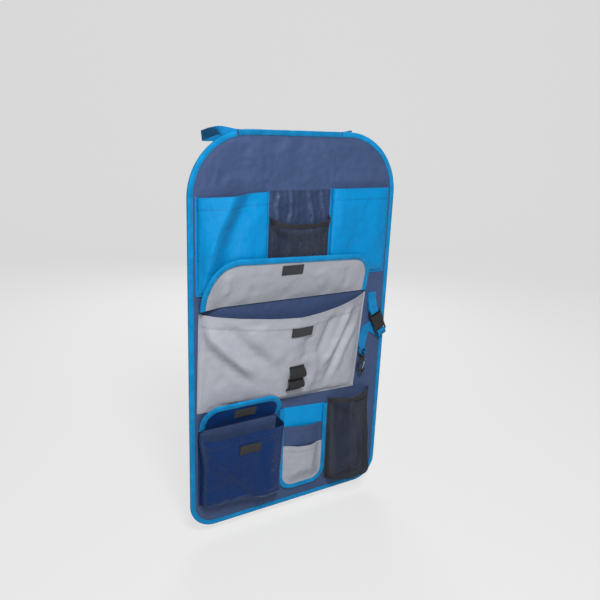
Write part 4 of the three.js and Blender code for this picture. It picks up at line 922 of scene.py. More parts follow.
def rounded_line(corners, radii, spacing=3.0, arc=5.0):
    """Points and leftward normals along a line with rounded corners."""
    corners = [np.array(c, float) for c in corners]
    points, normals = [], []

    def add(point, direction):
        points.append(point)
        normals.append(np.array([-direction[1], direction[0]]))

    def straight(a, b, direction):
        steps = max(int(np.linalg.norm(b - a) / spacing), 1)
        for k in range(steps + 1):
            add(a + (b - a) * k / steps, direction)

    start = corners[0]
    for k in range(1, len(corners) - 1):
        before = corners[k] - corners[k - 1]
        before = unit(before)
        after = corners[k + 1] - corners[k]
        after = unit(after)
        turn = math.atan2(before[0] * after[1] - before[1] * after[0], before @ after)
        radius = radii[k - 1]
        setback = radius * math.tan(abs(turn) / 2)
        begin = corners[k] - before * setback
        straight(start, begin, before)
        side = np.array([-before[1], before[0]]) * np.sign(turn)
        centre = begin + side * radius
        steps = max(int(abs(math.degrees(turn)) / arc), 3)
        for i in range(1, steps):
            swing = turn * i / steps
            c, s = math.cos(swing), math.sin(swing)
            spoke = begin - centre
            add(centre + np.array([c * spoke[0] - s * spoke[1], s * spoke[0] + c * spoke[1]]),
                np.array([c * before[0] - s * before[1], s * before[0] + c * before[1]]))
        start = corners[k] + after * setback
    last = corners[-1] - corners[-2]
    straight(start, corners[-1], last / np.linalg.norm(last))
    return np.array(points), np.array(normals)


def in_front(surface, x, z, distance):
    """Points a set distance in front of the surface y = surface(x, z), square to it."""
    step = 0.5
    slope_x = (surface(x + step, z) - surface(x - step, z)) / (2 * step)
    slope_z = (surface(x, z + step) - surface(x, z - step)) / (2 * step)
    normal = np.stack([slope_x, -np.ones(np.shape(x)), slope_z], axis=-1)
    normal = unit(normal)
    return np.stack([x, surface(x, z), z], axis=-1) + normal * np.asarray(distance)[..., None], normal


def edge_tape(name, node, points, normals, surface, sheet_thickness, reach, gap, material, seed):
    """Tape folded round an edge: a soft round nose, puckered lips and a seam close to each lip's edge."""
    inner = sheet_thickness / 2 + gap
    outer = inner + TAPE
    lip = [(reach, inner + 0.55), (reach - 0.6, outer - 0.15), (reach - 2.2, outer - 0.28),
           (reach - 4.0, outer), (reach * 0.35, outer)]
    bend = [(-EDGE_INSET * math.sin(a), outer * math.cos(a)) for a in np.linspace(0.25, math.pi - 0.25, 9)]
    inside = [(reach, -inner), (reach * 0.4, -inner), (-GAP, -inner), (-GAP, inner), (reach * 0.4, inner),
              (reach, inner)]
    profile = np.array(lip + bend + [(along, -out) for along, out in lip[::-1]] + inside)
    walked = walked_along(points)
    along, out = profile[:, :1], profile[:, 1:]
    wobble = 0.35 * soft_noise(walked / 16, walked * 0, seed) * (along > reach - 1)
    spot = points[None] + normals[None] * (along + wobble)[..., None]
    puckers = 0.22 * soft_noise(walked / 4.5, walked * 0, seed + 1)
    puckers = puckers + 0.30 * soft_noise(walked / 13, walked * 0, seed + 2)
    distance = out + np.sign(out) * np.abs(puckers) * (np.abs(out) > inner + 0.5)
    places, _ = in_front(surface, spot[..., 0], spot[..., 1], distance)
    swept(name, places.transpose(1, 0, 2), material, node)


def tape_seams(points, normals, surface, reach, height):
    """The seam of a folded tape, on its front and on its back."""
    spot = points + normals * reach
    front = in_front(surface, spot[:, 0], spot[:, 1], np.full(len(spot), height))
    place, facing = in_front(surface, spot[:, 0], spot[:, 1], np.full(len(spot), -height))
    return [front, (place, -facing)]


# Pieces

def declare_sheet(grid):
    """Work out the width, length and area of a cloth grid laid flat; the results are not kept or used."""
    across, up = lengths_along(grid)
    width, length = float(across[-1] * MM), float(up[-1] * MM)
    faces = np.cross(np.diff(grid, axis=1)[:-1], np.diff(grid, axis=0)[:, :-1])
    area = float(np.linalg.norm(faces, axis=2).sum() * MM * MM)
    area = min(max(area, 0.3 * width * length), width * length)


def panel_half_width(z):
    """Half of the panel's width at a height."""
    z = np.asarray(z, float)
    top = np.maximum(z - (PANEL_HALF_HEIGHT - TOP_RADIUS), 0)
    bottom = np.maximum(-z - (PANEL_HALF_HEIGHT - BOTTOM_RADIUS), 0)
    upper = PANEL_HALF_WIDTH - TOP_RADIUS + np.sqrt(np.maximum(TOP_RADIUS**2 - top**2, 0))
    lower = PANEL_HALF_WIDTH - BOTTOM_RADIUS + np.sqrt(np.maximum(BOTTOM_RADIUS**2 - bottom**2, 0))
    return np.where(z > 0, upper, lower)


def panel_relief(x, z):
    """Soft waves of the hanging panel's free cloth; flat under the tapes and the sewn rows."""
    free = smoothstep(z, ROW_TOP + 4, ROW_TOP + 18) * smoothstep(panel_half_width(z) - np.abs(x), 12, 26)
    free = free * smoothstep(PANEL_HALF_HEIGHT - z, 12, 24)
    waves = 1.5 * soft_noise(x / 30, z / 52, 11) + 1.2 * crinkles(x, z, 24, 12) + creases(x, z, PANEL_FOLDS)
    return np.clip(free * (waves + 0.6), -1.2, 3.2)


def panel_heights(spacing):
    """Heights of the panel's rows of points, closer together at its rounded corners."""
    even = np.linspace(-PANEL_HALF_HEIGHT, PANEL_HALF_HEIGHT, int(2 * PANEL_HALF_HEIGHT / spacing))
    lift = np.sin(np.linspace(-math.pi / 2, math.pi / 2, 28)) * 0.5 + 0.5
    low = -PANEL_HALF_HEIGHT + BOTTOM_RADIUS * lift[:14]
    high = PANEL_HALF_HEIGHT - TOP_RADIUS * lift[:20][::-1]
    heights = np.unique(np.concatenate([even, low, high]).round(3))
    return heights[np.concatenate([[True], np.diff(heights) > 0.25])]


def make_panel():
    cloth = settings("organizer_cloth")
    navy = coated_cloth("panel_navy_cloth", cloth.navy, roughness=(0.34, 0.5), spread=0.3, gloss=0.4)
    spacing = cloth.grid / MM * 1.4
    heights = panel_heights(spacing)
    shares = np.linspace(-1, 1, int(2 * PANEL_HALF_WIDTH / spacing))
    z = np.repeat(heights[:, None], len(shares), axis=1)
    x = panel_half_width(z) * shares[None]
    middle = np.full(x.shape, -PANEL_THICKNESS / 2)
    front = np.stack([x, middle - PANEL_THICKNESS / 2 - panel_relief(x, z), z], axis=-1)
    back = np.stack([x, middle + PANEL_THICKNESS / 2, z], axis=-1)
    vertices = np.concatenate([front.reshape(-1, 3), back.reshape(-1, 3)])
    uv = np.tile(np.stack([x, z], axis=-1).reshape(-1, 2), (2, 1))
    faces = two_sided(*x.shape)
    piece = new_object("back_panel_cloth", vertices, faces, navy, "back_panel", uv)


def panel_edge(start, end):
    w, h = PANEL_HALF_WIDTH, PANEL_HALF_HEIGHT
    return rounded_line([(start, h), (-w, h), (-w, -h), (w, -h), (w, h), (end, h)],
                        [TOP_RADIUS, BOTTOM_RADIUS, BOTTOM_RADIUS, TOP_RADIUS], spacing=3.2, arc=1.7)


def upper_edge(x):
    over = np.maximum(np.abs(x) - (PANEL_HALF_WIDTH - TOP_RADIUS), 0)
    return PANEL_HALF_HEIGHT - TOP_RADIUS + np.sqrt(TOP_RADIUS**2 - over**2)


def mid_panel(x, z):
    return np.full(np.shape(x), -PANEL_THICKNESS / 2)


def make_edge_tapes():
    trim = settings("organizer_trim")
    ribbon = woven_tape("edge_tape_cloth", trim.tape)
    darker = woven_tape("top_tape_cloth", toned(trim.tape, 0.76))
    reach = TAPE_LAP - EDGE_INSET
    points, normals = panel_edge(0, 0)
    keep = (points[:, 1] < 0) | (points[:, 0] < TOP_TAPE[0] - 0.05) | (points[:, 0] > TOP_TAPE[1] + 0.05)
    first = int(np.argmax(keep & (points[:, 0] < 0)))
    last = len(keep) - int(np.argmax(keep[::-1]))
    points, normals = points[first:last], normals[first:last]
    edge_tape("edge_tape_loop", "edge_binding", points, normals, mid_panel, PANEL_THICKNESS, reach, GAP,
              ribbon, 21)
    x = np.linspace(TOP_TAPE[0] + 0.1, TOP_TAPE[1] - 0.1, 70)
    over = np.maximum(np.abs(x) - (PANEL_HALF_WIDTH - TOP_RADIUS), 0) * np.sign(x)
    top_points = np.column_stack([x, upper_edge(x)])
    top_normals = np.column_stack([-over, -np.sqrt(TOP_RADIUS**2 - over**2)]) / TOP_RADIUS
    edge_tape("top_tape_length", "top_tape", top_points, top_normals, mid_panel, PANEL_THICKNESS, reach, GAP,
              darker, 33)
    height = PANEL_THICKNESS / 2 + GAP + TAPE - 0.1
    round_edge = tape_seams(points, normals, mid_panel, reach - 2.2, height)
    over_top = tape_seams(top_points, top_normals, mid_panel, reach - 2.2, height)
    lines = [round_edge[0], over_top[0], round_edge[1], over_top[1]]
    for where in (-90.0, 22.0, 78.0):
        heights = upper_edge(np.array(where)) + 0.8 - np.array([0.0, 4.0, 8.0, 11.0])
        spots = np.column_stack([np.full(4, where), np.full(4, -PANEL_THICKNESS / 2 - height), heights])
        lines.append((spots, facing_front(4)))
    stitch_row("edge_tape_stitches", lines, "tape")


def edge_seams(grid):
    """Seams along a pocket's foot and its two sides."""
    return [seam_on(grid, row=1), seam_on(grid, column=1), seam_on(grid, column=-2)]


def upper_pocket(name, node, pocket, material, folds, seed):
    """A flat pocket of the upper row, puckered at its hem and bar-tacked at its two upper corners."""
    cloth = settings("organizer_cloth")
    grid = pocket.grid(cloth.grid / MM)
    x, z = grid[..., 0], grid[..., 2]
    free = seam_fade(grid, pocket)
    relief = folds(x, z) * free + hem_relief(grid, UPPER_HEM)
    relief = relief + cloth.crinkle / MM * free * crinkles(x, z, 22, seed)
    relief = relief + 0.8 * free * soft_noise(x / 30, z / 45, seed + 5)
    near_hem = np.exp(-(((grid[-1:, :, 2] - UPPER_HEM - 1 - z) / 9) ** 2))
    relief = relief + 0.35 * free * near_hem * soft_noise(x / 6, z / 14, seed + 9)
    grid = pushed(grid, np.clip(relief, -7.5, 17))
    grid[..., 1] = np.minimum(grid[..., 1], pocket.base)
    piece = cloth_sheet(name, grid, CLOTH, material, node)
    declare_sheet(grid)
    lines = [seam_under(grid, UPPER_HEM)] + edge_seams(grid)
    shift = np.array([0, -CLOTH / 2 - 0.25, 0])
    for inner, outer in ((6, 1), (-7, -2)):
        low, high = grid[-7, inner] + shift, grid[-1, outer] + shift
        lines.append((np.array([low, (low + high) / 2, high]), facing_front(3)))
    stitch_row(f"{name}_stitches", lines, "blue")


def side_of_line(x, z, points):
    """Distance to the right of a line that runs down through points, in millimetres."""
    points = np.array(points, float)
    order = np.argsort(points[:, 1])
    line = np.interp(z, points[order, 1], points[order, 0])
    lean = (points[0, 0] - points[-1, 0]) / (points[0, 1] - points[-1, 1])
    return (x - line) / math.hypot(1, lean)


def left_pocket_folds(x, z):
    """A full roll at the left that drops along a diagonal, and slack cloth beside it."""
    beside = side_of_line(x, z, LEFT_POCKET_ROLL_EDGE)
    share = np.clip((x - UPPER_LEFT.left) / np.maximum(x - beside - 6 - UPPER_LEFT.left, 1), 0, 1)
    ridge = 16.0 * np.where(beside < -6, share, 1 - smoothstep(beside, -10, 30))
    hollow = -5.0 * np.exp(-(((beside - 32) / 22) ** 2))
    upper = 0.3 + 0.7 * smoothstep(z, 108, 175)
    return (ridge + hollow) * upper + creases(x, z, LEFT_POCKET_FOLDS)


def right_pocket_folds(x, z):
    return creases(x, z, RIGHT_POCKET_FOLDS)


def column_grid():
    """The gathered column between the upper pockets, its cloth drawn into upright folds."""
    x = np.linspace(-COLUMN_HALF_WIDTH, COLUMN_HALF_WIDTH, 110)
    z = np.linspace(ROW_BOTTOM, ROW_TOP, 90)
    x, z = np.meshgrid(x, z)
    bent = x + 2.5 * soft_noise(x / 20, z / 30, 71)
    gather = 1.2 * np.sin(math.pi * (bent + COLUMN_HALF_WIDTH) / 12.8) ** 2
    waves = 0.5 + 0.5 * soft_noise(x / 12, z / 60, 72)
    inward = COLUMN_HALF_WIDTH - np.abs(x)
    sides = smoothstep(inward, 0, 6)
    y = LAYER - 0.15 - gather * waves * sides - 0.25 * sides * crinkles(x, z, 15, 73)
    y = y - sides * creases(x, z, COLUMN_FOLDS)
    loose = smoothstep(inward, 6, 22) * smoothstep(z, ROW_BOTTOM + 10, ROW_BOTTOM + 60)
    return np.stack([x, np.clip(y, LAYER - 1.4 - 3.0 * loose, LAYER), z], axis=-1)


def make_upper_pockets():
    cloth = settings("organizer_cloth")
    blue = coated_cloth("upper_pocket_cloth", cloth.blue, roughness=(0.24, 0.36), spread=0.22, gloss=0.4)
    navy = coated_cloth("column_navy_cloth", toned(cloth.navy, 0.62), roughness=(0.2, 0.34), spread=0.35,
                        crease=3.0, gloss=0.5)
    upper_pocket("upper_left_cloth", "upper_left_pocket", UPPER_LEFT, blue, left_pocket_folds, 41)
    upper_pocket("upper_right_cloth", "upper_right_pocket", UPPER_RIGHT, blue, right_pocket_folds, 58)
    grid = column_grid()
    piece = cloth_sheet("centre_column_cloth", grid, CLOTH, navy, "upper_centre_panel")
    declare_sheet(grid)
    lines = [seam_on(grid, column=2), seam_on(grid, column=-3), seam_on(grid, row=-2)]
    lines.append(seam_under(grid, UPPER_HEM, 0.05, 0.95))
    for side in (-1, 1):
        tack = np.array([[side * 60, LAYER - 2.1, 264], [side * 46, LAYER - 2.1, 247]])
        lines.append((tack, facing_front(2)))
    stitch_row("centre_column_stitches", lines, "navy")


def surface_at(grid, s, t):
    """Points on a cloth grid at shares s across and t up."""
    rows, columns = grid.shape[:2]
    a = np.clip(s, 0, 1) * (columns - 1)
    b = np.clip(t, 0, 1) * (rows - 1)
    i, j = np.minimum(a.astype(int), columns - 2), np.minimum(b.astype(int), rows - 2)
    p, q = (a - i)[:, None], (b - j)[:, None]
    low = grid[j, i] * (1 - p) + grid[j, i + 1] * p
    high = grid[j + 1, i] * (1 - p) + grid[j + 1, i + 1] * p
    return low * (1 - q) + high * q


def even_grid(grid, rows, columns):
    """The cloth grid with its points spaced evenly across and up."""
    out = np.array([evenly_counted(row, columns) for row in grid])
    return np.array([evenly_counted(out[:, k], rows) for k in range(columns)]).transpose(1, 0, 2)


def evenly_counted(line, count):
    """A line with a given number of points, evenly spaced."""
    steps = walked_along(line)
    stops = np.linspace(0, steps[-1], count)
    return np.column_stack([np.interp(stops, steps, line[:, k]) for k in range(3)])


def knotted_net(name, node, grid, thread, material):
    """Warp-knitted net of six-sided holes laid over a cloth grid, as flat three-sided threads."""
    grid = even_grid(grid, 70, 90)
    pitch, thread = settings("organizer_net").pitch / MM, thread / MM
    across, up = lengths_along(grid)
    width, height = across[-1], up[-1]
    side = pitch / math.sqrt(3)
    columns, rows = int(width / pitch) + 1, int(height / (1.5 * side)) + 1
    edges = []
    for r in range(rows):
        z = r * 1.5 * side
        shift = 0.5 * pitch if r % 2 else 0.0
        for c in range(columns):
            x = c * pitch + shift
            foot, head = (x, z), (x, z + side)
            edges.append((foot, head))
            edges.append((head, (x - 0.5 * pitch, z + 1.5 * side)))
            edges.append((head, (x + 0.5 * pitch, z + 1.5 * side)))
    edges = np.array(edges)
    edges = edges[((edges >= 0) & (edges <= [width, height])).all(axis=(1, 2))]
    a = surface_at(grid, edges[:, 0, 0] / width, edges[:, 0, 1] / height)
    b = surface_at(grid, edges[:, 1, 0] / width, edges[:, 1, 1] / height)
    facing = surface_at(normals_of(grid), edges[:, 0, 0] / width, edges[:, 0, 1] / height)
    run = unit(b - a)
    a, b = a - run * thread * 0.25, b + run * thread * 0.25
    aside = np.cross(run, facing) * thread / 2
    out = facing * thread * 0.35
    corners = [aside - out * 0.5, out, -aside - out * 0.5]
    vertices = np.stack([a + c for c in corners] + [b + c for c in corners], axis=1).reshape(-1, 3)
    base = np.arange(len(a)) * 6
    faces = np.concatenate([np.column_stack([base + k, base + after, base + 3 + after, base + 3 + k])
                            for k, after in ((0, 1), (1, 2), (2, 0))])
    new_object(name, vertices, faces, material, node)


def elastic_edge(name, node, pocket, seed):
    """Elastic sewn round a net's mouth, folded over it and drawn in."""
    elastic = ribbed_elastic("mouth_elastic", settings("organizer_net").elastic)
    angles = pocket.even_angles(120, 0.97)[3:-3]
    rows = []
    for down in np.linspace(ELASTIC_WIDTH, 0, 12):
        up = np.full(angles.shape, 1 - down / (pocket.mouth - pocket.foot))
        top = pocket.point(angles, up)
        beside = pocket.point(np.clip(angles - 0.02, 0, math.pi), up)
        beside = beside - pocket.point(np.clip(angles + 0.02, 0, math.pi), up)
        outward = np.column_stack([beside[:, 1], -beside[:, 0], np.zeros(len(angles))])
        outward = unit(outward)
        outward *= np.where(outward[:, 1:2] > 0, -1, 1)
        walked = walked_along(top)
        ripple = 0.25 * soft_noise(walked / 3.2, walked * 0 + down / 12, seed)
        ripple = ripple + 0.2 * math.sin(math.pi * down / ELASTIC_WIDTH)
        rows.append(top + outward * (CLOTH / 2 + CURVE_GAP + CLOTH / 2 + ripple[:, None]))
    grid = np.array(rows)
    cloth_sheet(name, grid, CLOTH, elastic, node)
    lines = [seam_on(grid, row=2), seam_on(grid, row=-3)]
    stitch_row(f"{name}_stitches", lines, "black")


def make_upper_net():
    net = settings("organizer_net")
    grid = UPPER_NET.grid(NET_GRID)
    x, z = grid[..., 0], grid[..., 2]
    free = seam_fade(grid, UPPER_NET, 12)
    grid = pushed(grid, free * (1.2 * soft_noise(x / 14, z / 30, 81)))
    thread = net_thread("upper_net_thread", net.colour)
    knotted_net("upper_net_cloth", "upper_net_pocket", grid, net.upper_thread, thread)
    elastic_edge("upper_elastic_band", "upper_net_elastic", UPPER_NET, 82)


def fastener_patch(name, node, surface, centre, material):
    """Half of a hook-and-loop fastener, soft at its edges and sewn down all round."""
    width, height = PATCH_SIZE
    x, z = np.meshgrid(np.linspace(-width / 2, width / 2, 45), np.linspace(-height / 2, height / 2, 20))
    edge = np.minimum(width / 2 - np.abs(x), height / 2 - np.abs(z))
    soft = 0.35 * smoothstep(edge, 0.2, 1.6) + 0.12 * soft_noise(x / 1.4, z / 1.4, 91)
    thickness = PATCH_THICKNESS - 0.3
    middle = CLOTH / 2 + CURVE_GAP + (PATCH_THICKNESS - 0.2) / 2
    grid, _ = in_front(surface, centre[0] + x, centre[1] + z, middle + soft * 0.5)
    cloth_sheet(name, grid, thickness, material, node)
    right, top = width / 2 - PATCH_SEAM_INSET, height / 2 - PATCH_SEAM_INSET
    corners = [(-right, -top), (right, -top), (right, top), (-right, top)]
    lines = []
    for a, b in zip(corners, corners[1:] + corners[:1]):
        line = np.linspace(a, b, 12)
        lines.append(in_front(surface, centre[0] + line[:, 0], centre[1] + line[:, 1],
                              np.full(12, middle + thickness / 2 + 0.1)))
    stitch_row(f"{name}_stitches", lines, "black")


def main_folds(x, z):
    """The main pocket's own folds, and the slack cloth under the long ridge from its upper left corner."""
    return -5.0 * smoothstep(-side_of_line(x, z, MAIN_DIAGONAL), 2, 46) + creases(x, z, MAIN_FOLDS)


def make_main_pocket():
    cloth = settings("organizer_cloth")
    grey = coated_cloth("main_pocket_cloth", cloth.grey, roughness=(0.28, 0.42), gloss=0.5)
    grid = MAIN.grid(cloth.grid / MM)
    x, z = grid[..., 0], grid[..., 2]
    free = seam_fade(grid, MAIN, 14)
    mouth_fade = 0.3 + 0.7 * smoothstep(grid[-1:, :, 2] - z, 4, 24)
    aside = np.abs(x - MAIN_PATCH[0])
    trims = (1 - smoothstep(aside, 20, 32)) * smoothstep(z, -122, -108) * (1 - smoothstep(z, -56, -42))
    trims = trims + (1 - smoothstep(aside, 24, 34)) * smoothstep(z, -4, 4) * (1 - smoothstep(z, 24, 32))
    relief = main_folds(x, z) * free * mouth_fade * (1 - 0.75 * np.clip(trims, 0, 1))
    relief = relief + hem_relief(grid, MAIN_HEM, 0.4) + 1.3 * free * soft_noise(x / 34, z / 40, 101)
    relief = relief + cloth.crinkle / MM * free * crinkles(x, z, 26, 102)
    hem_line = np.exp(-(((grid[-1:, :, 2] - MAIN_HEM - 1 - z) / 8) ** 2))
    relief = relief + 0.45 * free * hem_line * soft_noise(x / 7, z / 16, 103)
    grid = pushed(grid, relief)
    grid[..., 1] = np.minimum(grid[..., 1], MAIN.base - 0.4 * free)
    piece = cloth_sheet("main_pocket_cloth_front", grid, CLOTH, grey, "main_pocket")
    declare_sheet(grid)
    lines = [seam_under(grid, MAIN_HEM, 0.01, 0.99)] + edge_seams(grid)
    stitch_row("main_pocket_stitches", lines, "grey")
    return grid


def surface_of(grid):
    """y of a cloth grid as a function of place, read between its points."""
    inner = grid[2:, 2:-2]
    zs = inner[:, inner.shape[1] // 2, 2]

    def surface(x, z):
        x, z = np.broadcast_arrays(np.asarray(x, float), np.asarray(z, float))
        flat_x, flat_z = x.ravel(), z.ravel()
        rows = np.clip(np.interp(flat_z, zs, np.arange(len(zs))), 0, len(zs) - 1.001)
        low = rows.astype(int)
        share = rows - low
        out = np.empty(flat_x.shape)
        for row in np.unique(low):
            mine = low == row
            near = np.interp(flat_x[mine], inner[row, :, 0], inner[row, :, 1])
            far = np.interp(flat_x[mine], inner[row + 1, :, 0], inner[row + 1, :, 1])
            out[mine] = near * (1 - share[mine]) + far * share[mine]
        return out.reshape(x.shape)
    return surface


def make_main_trims(grid):
    """The main pocket's fastener patch, and the elastic that is sewn down three times to make two loops."""
    pile = fastener_pile("fastener_pile", settings("organizer_trim").fastener)
    fastener_patch("main_pocket_fastener", "main_pocket_patch", surface_of(grid), MAIN_PATCH, pile)
    elastic = ribbed_elastic("loop_elastic", settings("organizer_net").elastic)
    end, first_seam, pitch = -57.0, -61.0, 23.0
    left, width = -28, 32
    z = np.linspace(first_seam - 2 * pitch - 4, end, 110)
    x, z = np.meshgrid(np.linspace(left, left + width, 22), z)
    down = np.clip(first_seam - z, 0, 2 * pitch)
    rise = 12 * np.abs(np.sin(math.pi * down / pitch)) ** 0.7
    edge = 0.3 * np.sin(math.pi * (x - left) / width)
    loops, _ = in_front(MAIN.front, x, z, CLOTH + CURVE_GAP + rise + edge + 0.5)
    cloth_sheet("loop_elastic_band", loops, CLOTH, elastic, "elastic_loops")
    middle_seam = int(np.argmin(np.abs(z[:, 0] - (first_seam - pitch))))
    lines = [seam_on(loops, row=row) for row in (3, -4, middle_seam)]
    stitch_row("loop_elastic_stitches", lines, "black")


def flap_edge(size):
    """Points and inward normals round a flap's cloth, from its right end over its top to its left end."""
    left, right, fold = size["left"] + EDGE_INSET, size["right"] - EDGE_INSET, size["fold"]
    top, tilt = size["top"] - EDGE_INSET, size["tilt"]
    points, normals = rounded_line([(right, fold), (right, top + tilt), (left, top - tilt), (left, fold)],
                                   size["radii"], 2.6, 3)
    share = (points[:, 0] - size["left"]) / (size["right"] - size["left"])
    points[:, 1] += size["crown"] * flap_middle(share)
    return points, normals


def flap_grid(surface, size, spacing, relief):
    points, _ = flap_edge(size)
    edge = points[points[:, 1] > size["fold"] + 2][::-1]
    x = np.unique(edge[:, 0].round(2))
    height = np.array([edge[np.abs(edge[:, 0] - v) < 0.02, 1].max() for v in x])
    columns = np.arange(x[0], x[-1], spacing)
    columns = np.unique(np.concatenate([columns, x[(x < x[0] + 30) | (x > x[-1] - 30)], x[-1:]]).round(2))
    columns = columns[np.concatenate([[True], np.diff(columns) > 0.15])]
    top = np.interp(columns, x, height)
    share = np.linspace(0, 1, int((size["top"] - size["fold"]) / spacing))[:, None]
    z = size["fold"] + (top[None] - size["fold"]) * share
    x = np.repeat(columns[None], len(share), axis=0)
    grid = np.stack([x, surface(x, z), z], axis=-1)
    return pushed(grid, relief(x, z))


def make_flap(name, node, surface, size, material, relief, seed):
    """A flap that stands open, with its tape round three sides."""
    grid = flap_grid(surface, size, settings("organizer_cloth").grid / MM, relief)
    piece = cloth_sheet(f"{name}_cloth", grid, CLOTH, material, node)
    declare_sheet(grid)
    points, normals = flap_edge(size)
    ribbon = woven_tape("flap_tape_cloth", settings("organizer_trim").tape)
    edge_tape(f"{name}_tape", f"{node}_binding", points, normals, surface, CLOTH, FLAP_REACH, CURVE_GAP,
              ribbon, seed)
    lines = tape_seams(points, normals, surface, FLAP_REACH - 2, CLOTH / 2 + CURVE_GAP + TAPE - 0.1)
    stitch_row(f"{name}_tape_stitches", lines, "tape")


def main_flap_relief(x, z):
    """Soft folds of the main flap's lining, flat along its tape and its fold."""
    inside = smoothstep(x, FLAP["left"] + 12, FLAP["left"] + 30)
    inside = inside * (1 - smoothstep(x, FLAP["right"] - 30, FLAP["right"] - 12))
    inside = inside * smoothstep(FLAP["top"] - z, 13, 30) * smoothstep(z, FLAP["fold"] + 1, FLAP["fold"] + 10)
    waves = 1.0 * soft_noise(x / 30, z / 36, 121) + 0.2 * crinkles(x, z, 24, 122)
    return inside * (waves + creases(x, z, MAIN_FLAP_FOLDS))


def make_main_flap():
    cloth, trim = settings("organizer_cloth"), settings("organizer_trim")
    # The flap's lining is the main pocket's grey made a little darker: painted shade, for the shadow that the
    # open flap stands in.
    grey = coated_cloth("flap_lining_painted_shade_cloth", toned(cloth.grey, 0.95), roughness=(0.36, 0.5), crease=0.9,
                        gloss=0.4)
    make_flap("main_flap", "main_flap", MAIN_FLAP_SURFACE, FLAP, grey, main_flap_relief, 131)
    pile = fastener_pile("fastener_pile", trim.fastener)
    fastener_patch("main_flap_fastener", "main_flap_patch", MAIN_FLAP_SURFACE, MAIN_FLAP_PATCH, pile)


def lower_folds(x, z):
    """A slack fold that crosses the pocket from its upper left corner, and soft folds beside it."""
    across = ((z + 195) * 102 + (x + 190) * 117) / math.hypot(102, 117)
    slack = 5.0 * smoothstep(across, -30, 8) * (1 - 0.8 * smoothstep(across, 8, 60))
    return slack + creases(x, z, LOWER_POCKET_FOLDS)


def lower_relief(grid):
    """Folds, hem, creased sides and stitched foot of the lower left pocket."""
    x, z = grid[..., 0], grid[..., 2]
    free = seam_fade(grid, LOWER_LEFT, 12)
    relief = lower_folds(x, z) * free + hem_relief(grid, LOWER_HEM)
    side = smoothstep(np.abs(x + 116), 60, 80)
    relief = relief + (1.0 - 0.5 * side) * free * soft_noise(x / 24, z / 34, 141)
    edges = np.clip(smoothstep(-x, 150, 180) + smoothstep(-z, 270, 305), 0, 1)
    crinkle = settings("organizer_cloth").crinkle / MM
    relief = relief + crinkle * (0.3 + 1.2 * edges) * free * crinkles(x, z, 22, 142)
    for corner in (-189.5, -43.5):
        relief = relief + 0.9 * np.exp(-(((x - corner) / 1.6) ** 2)) * free
    return relief - 0.5 * np.exp(-(((z - LOWER_FOOT_SEAM) / 1.8) ** 2)) * free


def lower_flap_relief(x, z):
    inside = smoothstep(x, -188, -170) * (1 - smoothstep(x, -58, -40))
    inside = inside * smoothstep(LOWER_FLAP["top"] - z, 12, 24) * smoothstep(z, -162, -152)
    return inside * 0.9 * soft_noise(x / 22, z / 20, 151)


def make_lower_pocket():
    cloth, trim = settings("organizer_cloth"), settings("organizer_trim")
    navy = coated_cloth("lower_pocket_cloth", cloth.deep_navy, roughness=(0.20, 0.32), spread=0.3, crease=1.6,
                        gloss=0.45)
    grid = LOWER_LEFT.grid(cloth.grid / MM)
    grid = pushed(grid, lower_relief(grid))
    piece = cloth_sheet("lower_pocket_front", grid, CLOTH, navy, "lower_left_pocket")
    declare_sheet(grid)
    foot = int(np.argmin(np.abs(grid[:, grid.shape[1] // 2, 2] - LOWER_FOOT_SEAM)))
    lines = [seam_under(grid, LOWER_HEM, 0.01, 0.99)] + edge_seams(grid)
    lines.insert(2, seam_on(grid, row=foot, start=0.18, end=0.82))
    stitch_row("lower_pocket_stitches", lines, "navy")
    pile = fastener_pile("lower_fastener_pile", toned(trim.fastener, 0.7))
    fastener_patch("lower_pocket_fastener", "lower_pocket_patch", surface_of(grid), LOWER_PATCH, pile)
    lining = coated_cloth("lower_flap_lining", toned(cloth.deep_navy, 1.3), roughness=(0.3, 0.45), spread=0.2,
                          crease=1.2)
    make_flap("lower_flap", "lower_left_flap", LOWER_FLAP_SURFACE, LOWER_FLAP, lining,
              lower_flap_relief, 152)
    centre = (LOWER_PATCH[0], (LOWER_FLAP["fold"] + LOWER_FLAP["top"]) / 2)
    fastener_patch("lower_flap_fastener", "lower_flap_patch", LOWER_FLAP_SURFACE, centre, pile)


def tier_frame():
    """Left, right, foot and corner radius of the tier's cloth, inside its tape."""
    return (TIER["left"] + EDGE_INSET, TIER["right"] - EDGE_INSET,
            TIER["bottom"] + EDGE_INSET, TIER["radius"] - EDGE_INSET)


